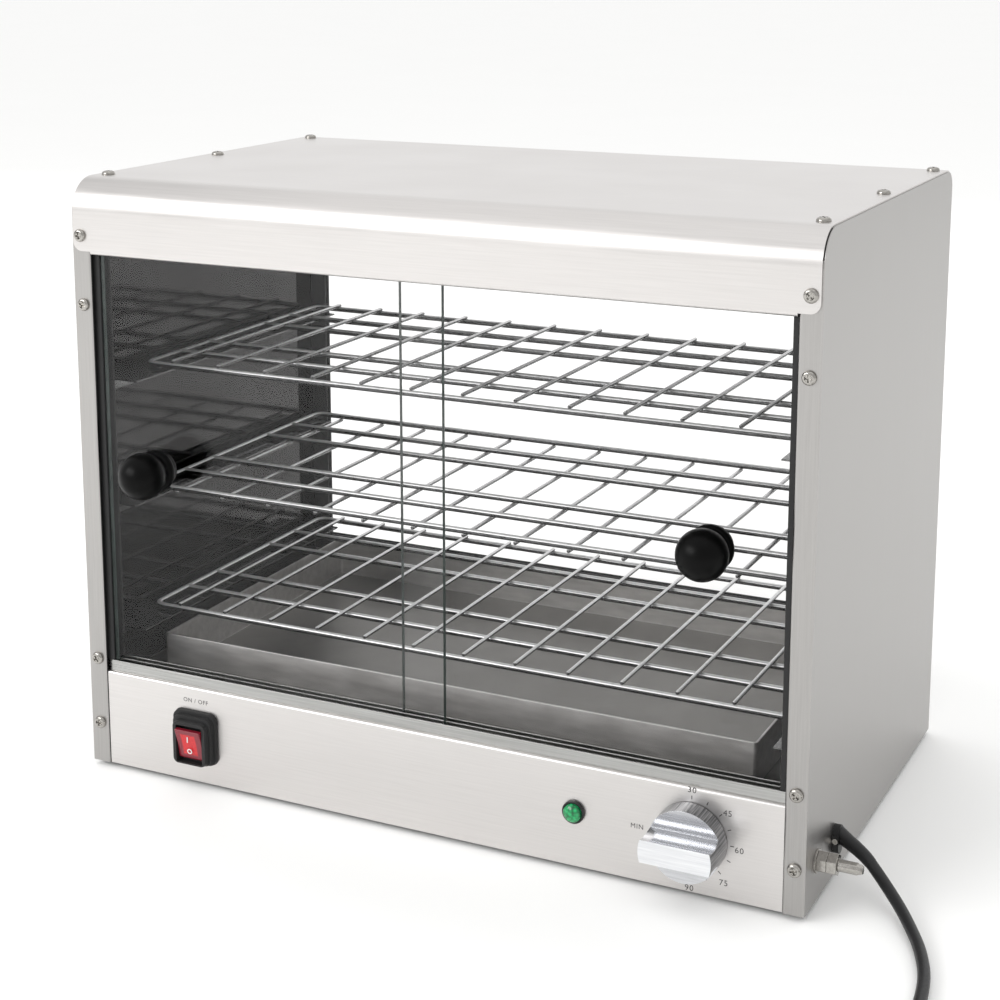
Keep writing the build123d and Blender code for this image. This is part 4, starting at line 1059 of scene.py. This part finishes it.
class WARMER_OT_stage(bpy.types.Operator):
    """Pale floor, soft light and the camera"""
    bl_idname = "warmer.stage"
    bl_label = "Floor, light and camera"

    focal_px = 1933.6
    azimuth = 25.76
    elevation = 10.76
    distance = 1446.7 * mm
    aim = Vector((-16.7, 0.0, 349.8)) * mm
    shift = -0.2
    image_width = 1000
    gloss_level = 0.77
    # Name, place, aim, size and radiance
    softboxes = (
        ("overhead", (0, 0.1, 2.1), (0, 0, 0), (2.8, 2.8), 0.36),
        ("front_left", (-1.6, -2.2, 1.6), (0, 0, 0.2), (2.0, 1.1), 5.6),
        ("rear_top", (-0.6, 2.8, 1.4), (0, 0, 0.4), (5.0, 2.4), 0.3),
    )

    def floor(self):
        bpy.ops.mesh.primitive_plane_add(size=60)
        floor = bpy.context.active_object
        floor.name = "studio_floor"
        material, tree, shader, place = start_material("pale_floor", Roughness=0.8)
        cloud = grain(tree, place, (400 * mm, 400 * mm, 400 * mm))
        shades = {"data_type": "RGBA", 6: linear("#fbfbfa"), 7: linear("#fdfdfc")}
        tint = add_node(tree, "ShaderNodeMix", shades, {0: cloud})
        tree.links.new(tint.outputs[2], shader.inputs["Base Color"])
        floor.data.materials.append(material)

    def softbox(self, name, place, aim, size, radiance):
        light = bpy.data.lights.new(name, "AREA")
        light.shape = "RECTANGLE"
        light.size, light.size_y = size
        light.energy = radiance * math.pi * size[0] * size[1]
        lamp = bpy.data.objects.new(name, light)
        bpy.context.scene.collection.objects.link(lamp)
        place, aim = Vector(place), Vector(aim)
        lamp.location = place
        lamp.rotation_mode = "QUATERNION"
        lamp.rotation_quaternion = (aim - place).to_track_quat("-Z", "Y")
        lamp.visible_camera = False

    def camera(self):
        data = bpy.data.cameras.new("camera")
        data.sensor_width = 36.0
        data.lens = self.focal_px * data.sensor_width / self.image_width
        data.shift_y = self.shift
        data.clip_start = 0.05
        data.clip_end = 100
        camera = bpy.data.objects.new("camera", data)
        bpy.context.scene.collection.objects.link(camera)
        a, e = math.radians(self.azimuth), math.radians(self.elevation)
        away = Vector((math.sin(a) * math.cos(e), -math.cos(a) * math.cos(e), math.sin(e)))
        aim = Vector((CENTRE.x, CENTRE.y, PANEL_LOW.z)) + self.aim
        camera.location = aim + away * self.distance
        camera.rotation_mode = "QUATERNION"
        camera.rotation_quaternion = (-away).to_track_quat("-Z", "Y")
        bpy.context.scene.camera = camera

    def execute(self, context):
        self.floor()
        self.camera()
        world = bpy.data.worlds.new("studio")
        context.scene.world = world
        world.use_nodes = True
        shown = world.node_tree.nodes["Background"]
        # The studio is white to the floor and backdrop, and a little dimmer in the gloss of the metal.
        gloss = add_node(world.node_tree, "ShaderNodeLightPath").outputs["Is Glossy Ray"]
        level = add_node(world.node_tree, "ShaderNodeMapRange", {"To Min": 1.0, "To Max": self.gloss_level},
                         {"Value": gloss})
        world.node_tree.links.new(level.outputs["Result"], shown.inputs["Strength"])
        shown.inputs["Color"].default_value = (1, 1, 1, 1)
        for softbox in self.softboxes:
            self.softbox(*softbox)
        context.scene.view_settings.view_transform = "Standard"
        return {"FINISHED"}


PIECES = (
    WARMER_OT_cord, WARMER_OT_shell, WARMER_OT_glazing, WARMER_OT_door_knobs, WARMER_OT_shelves,
    WARMER_OT_runners, WARMER_OT_tray, WARMER_OT_heater, WARMER_OT_screws, WARMER_OT_switch,
    WARMER_OT_lamp, WARMER_OT_dial, WARMER_OT_bonding_stud, WARMER_OT_stage,
)


class WARMER_PT_panel(bpy.types.Panel):
    bl_idname = "WARMER_PT_panel"
    bl_label = "Pie warmer cabinet"
    bl_space_type = "VIEW_3D"
    bl_region_type = "UI"
    bl_category = "Warmer"

    def draw(self, context):
        for piece in PIECES:
            self.layout.operator(piece.bl_idname)
        for group in (context.scene.warmer_sizes, context.scene.warmer_colours):
            for name in group.__annotations__:
                self.layout.prop(group, name)


CLASSES = (WarmerSizes, WarmerColours, *PIECES, WARMER_PT_panel)


def register():
    for one in CLASSES:
        bpy.utils.register_class(one)
    bpy.types.Scene.warmer_sizes = bpy.props.PointerProperty(type=WarmerSizes)
    bpy.types.Scene.warmer_colours = bpy.props.PointerProperty(type=WarmerColours)


def unregister():
    del bpy.types.Scene.warmer_colours
    del bpy.types.Scene.warmer_sizes
    for one in reversed(CLASSES):
        bpy.utils.unregister_class(one)


def main():
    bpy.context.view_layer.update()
    register()
    make_finishes()
    for piece in PIECES:
        family, name = piece.bl_idname.split(".")
        getattr(getattr(bpy.ops, family), name)()


if __name__ == "__main__":
    main()
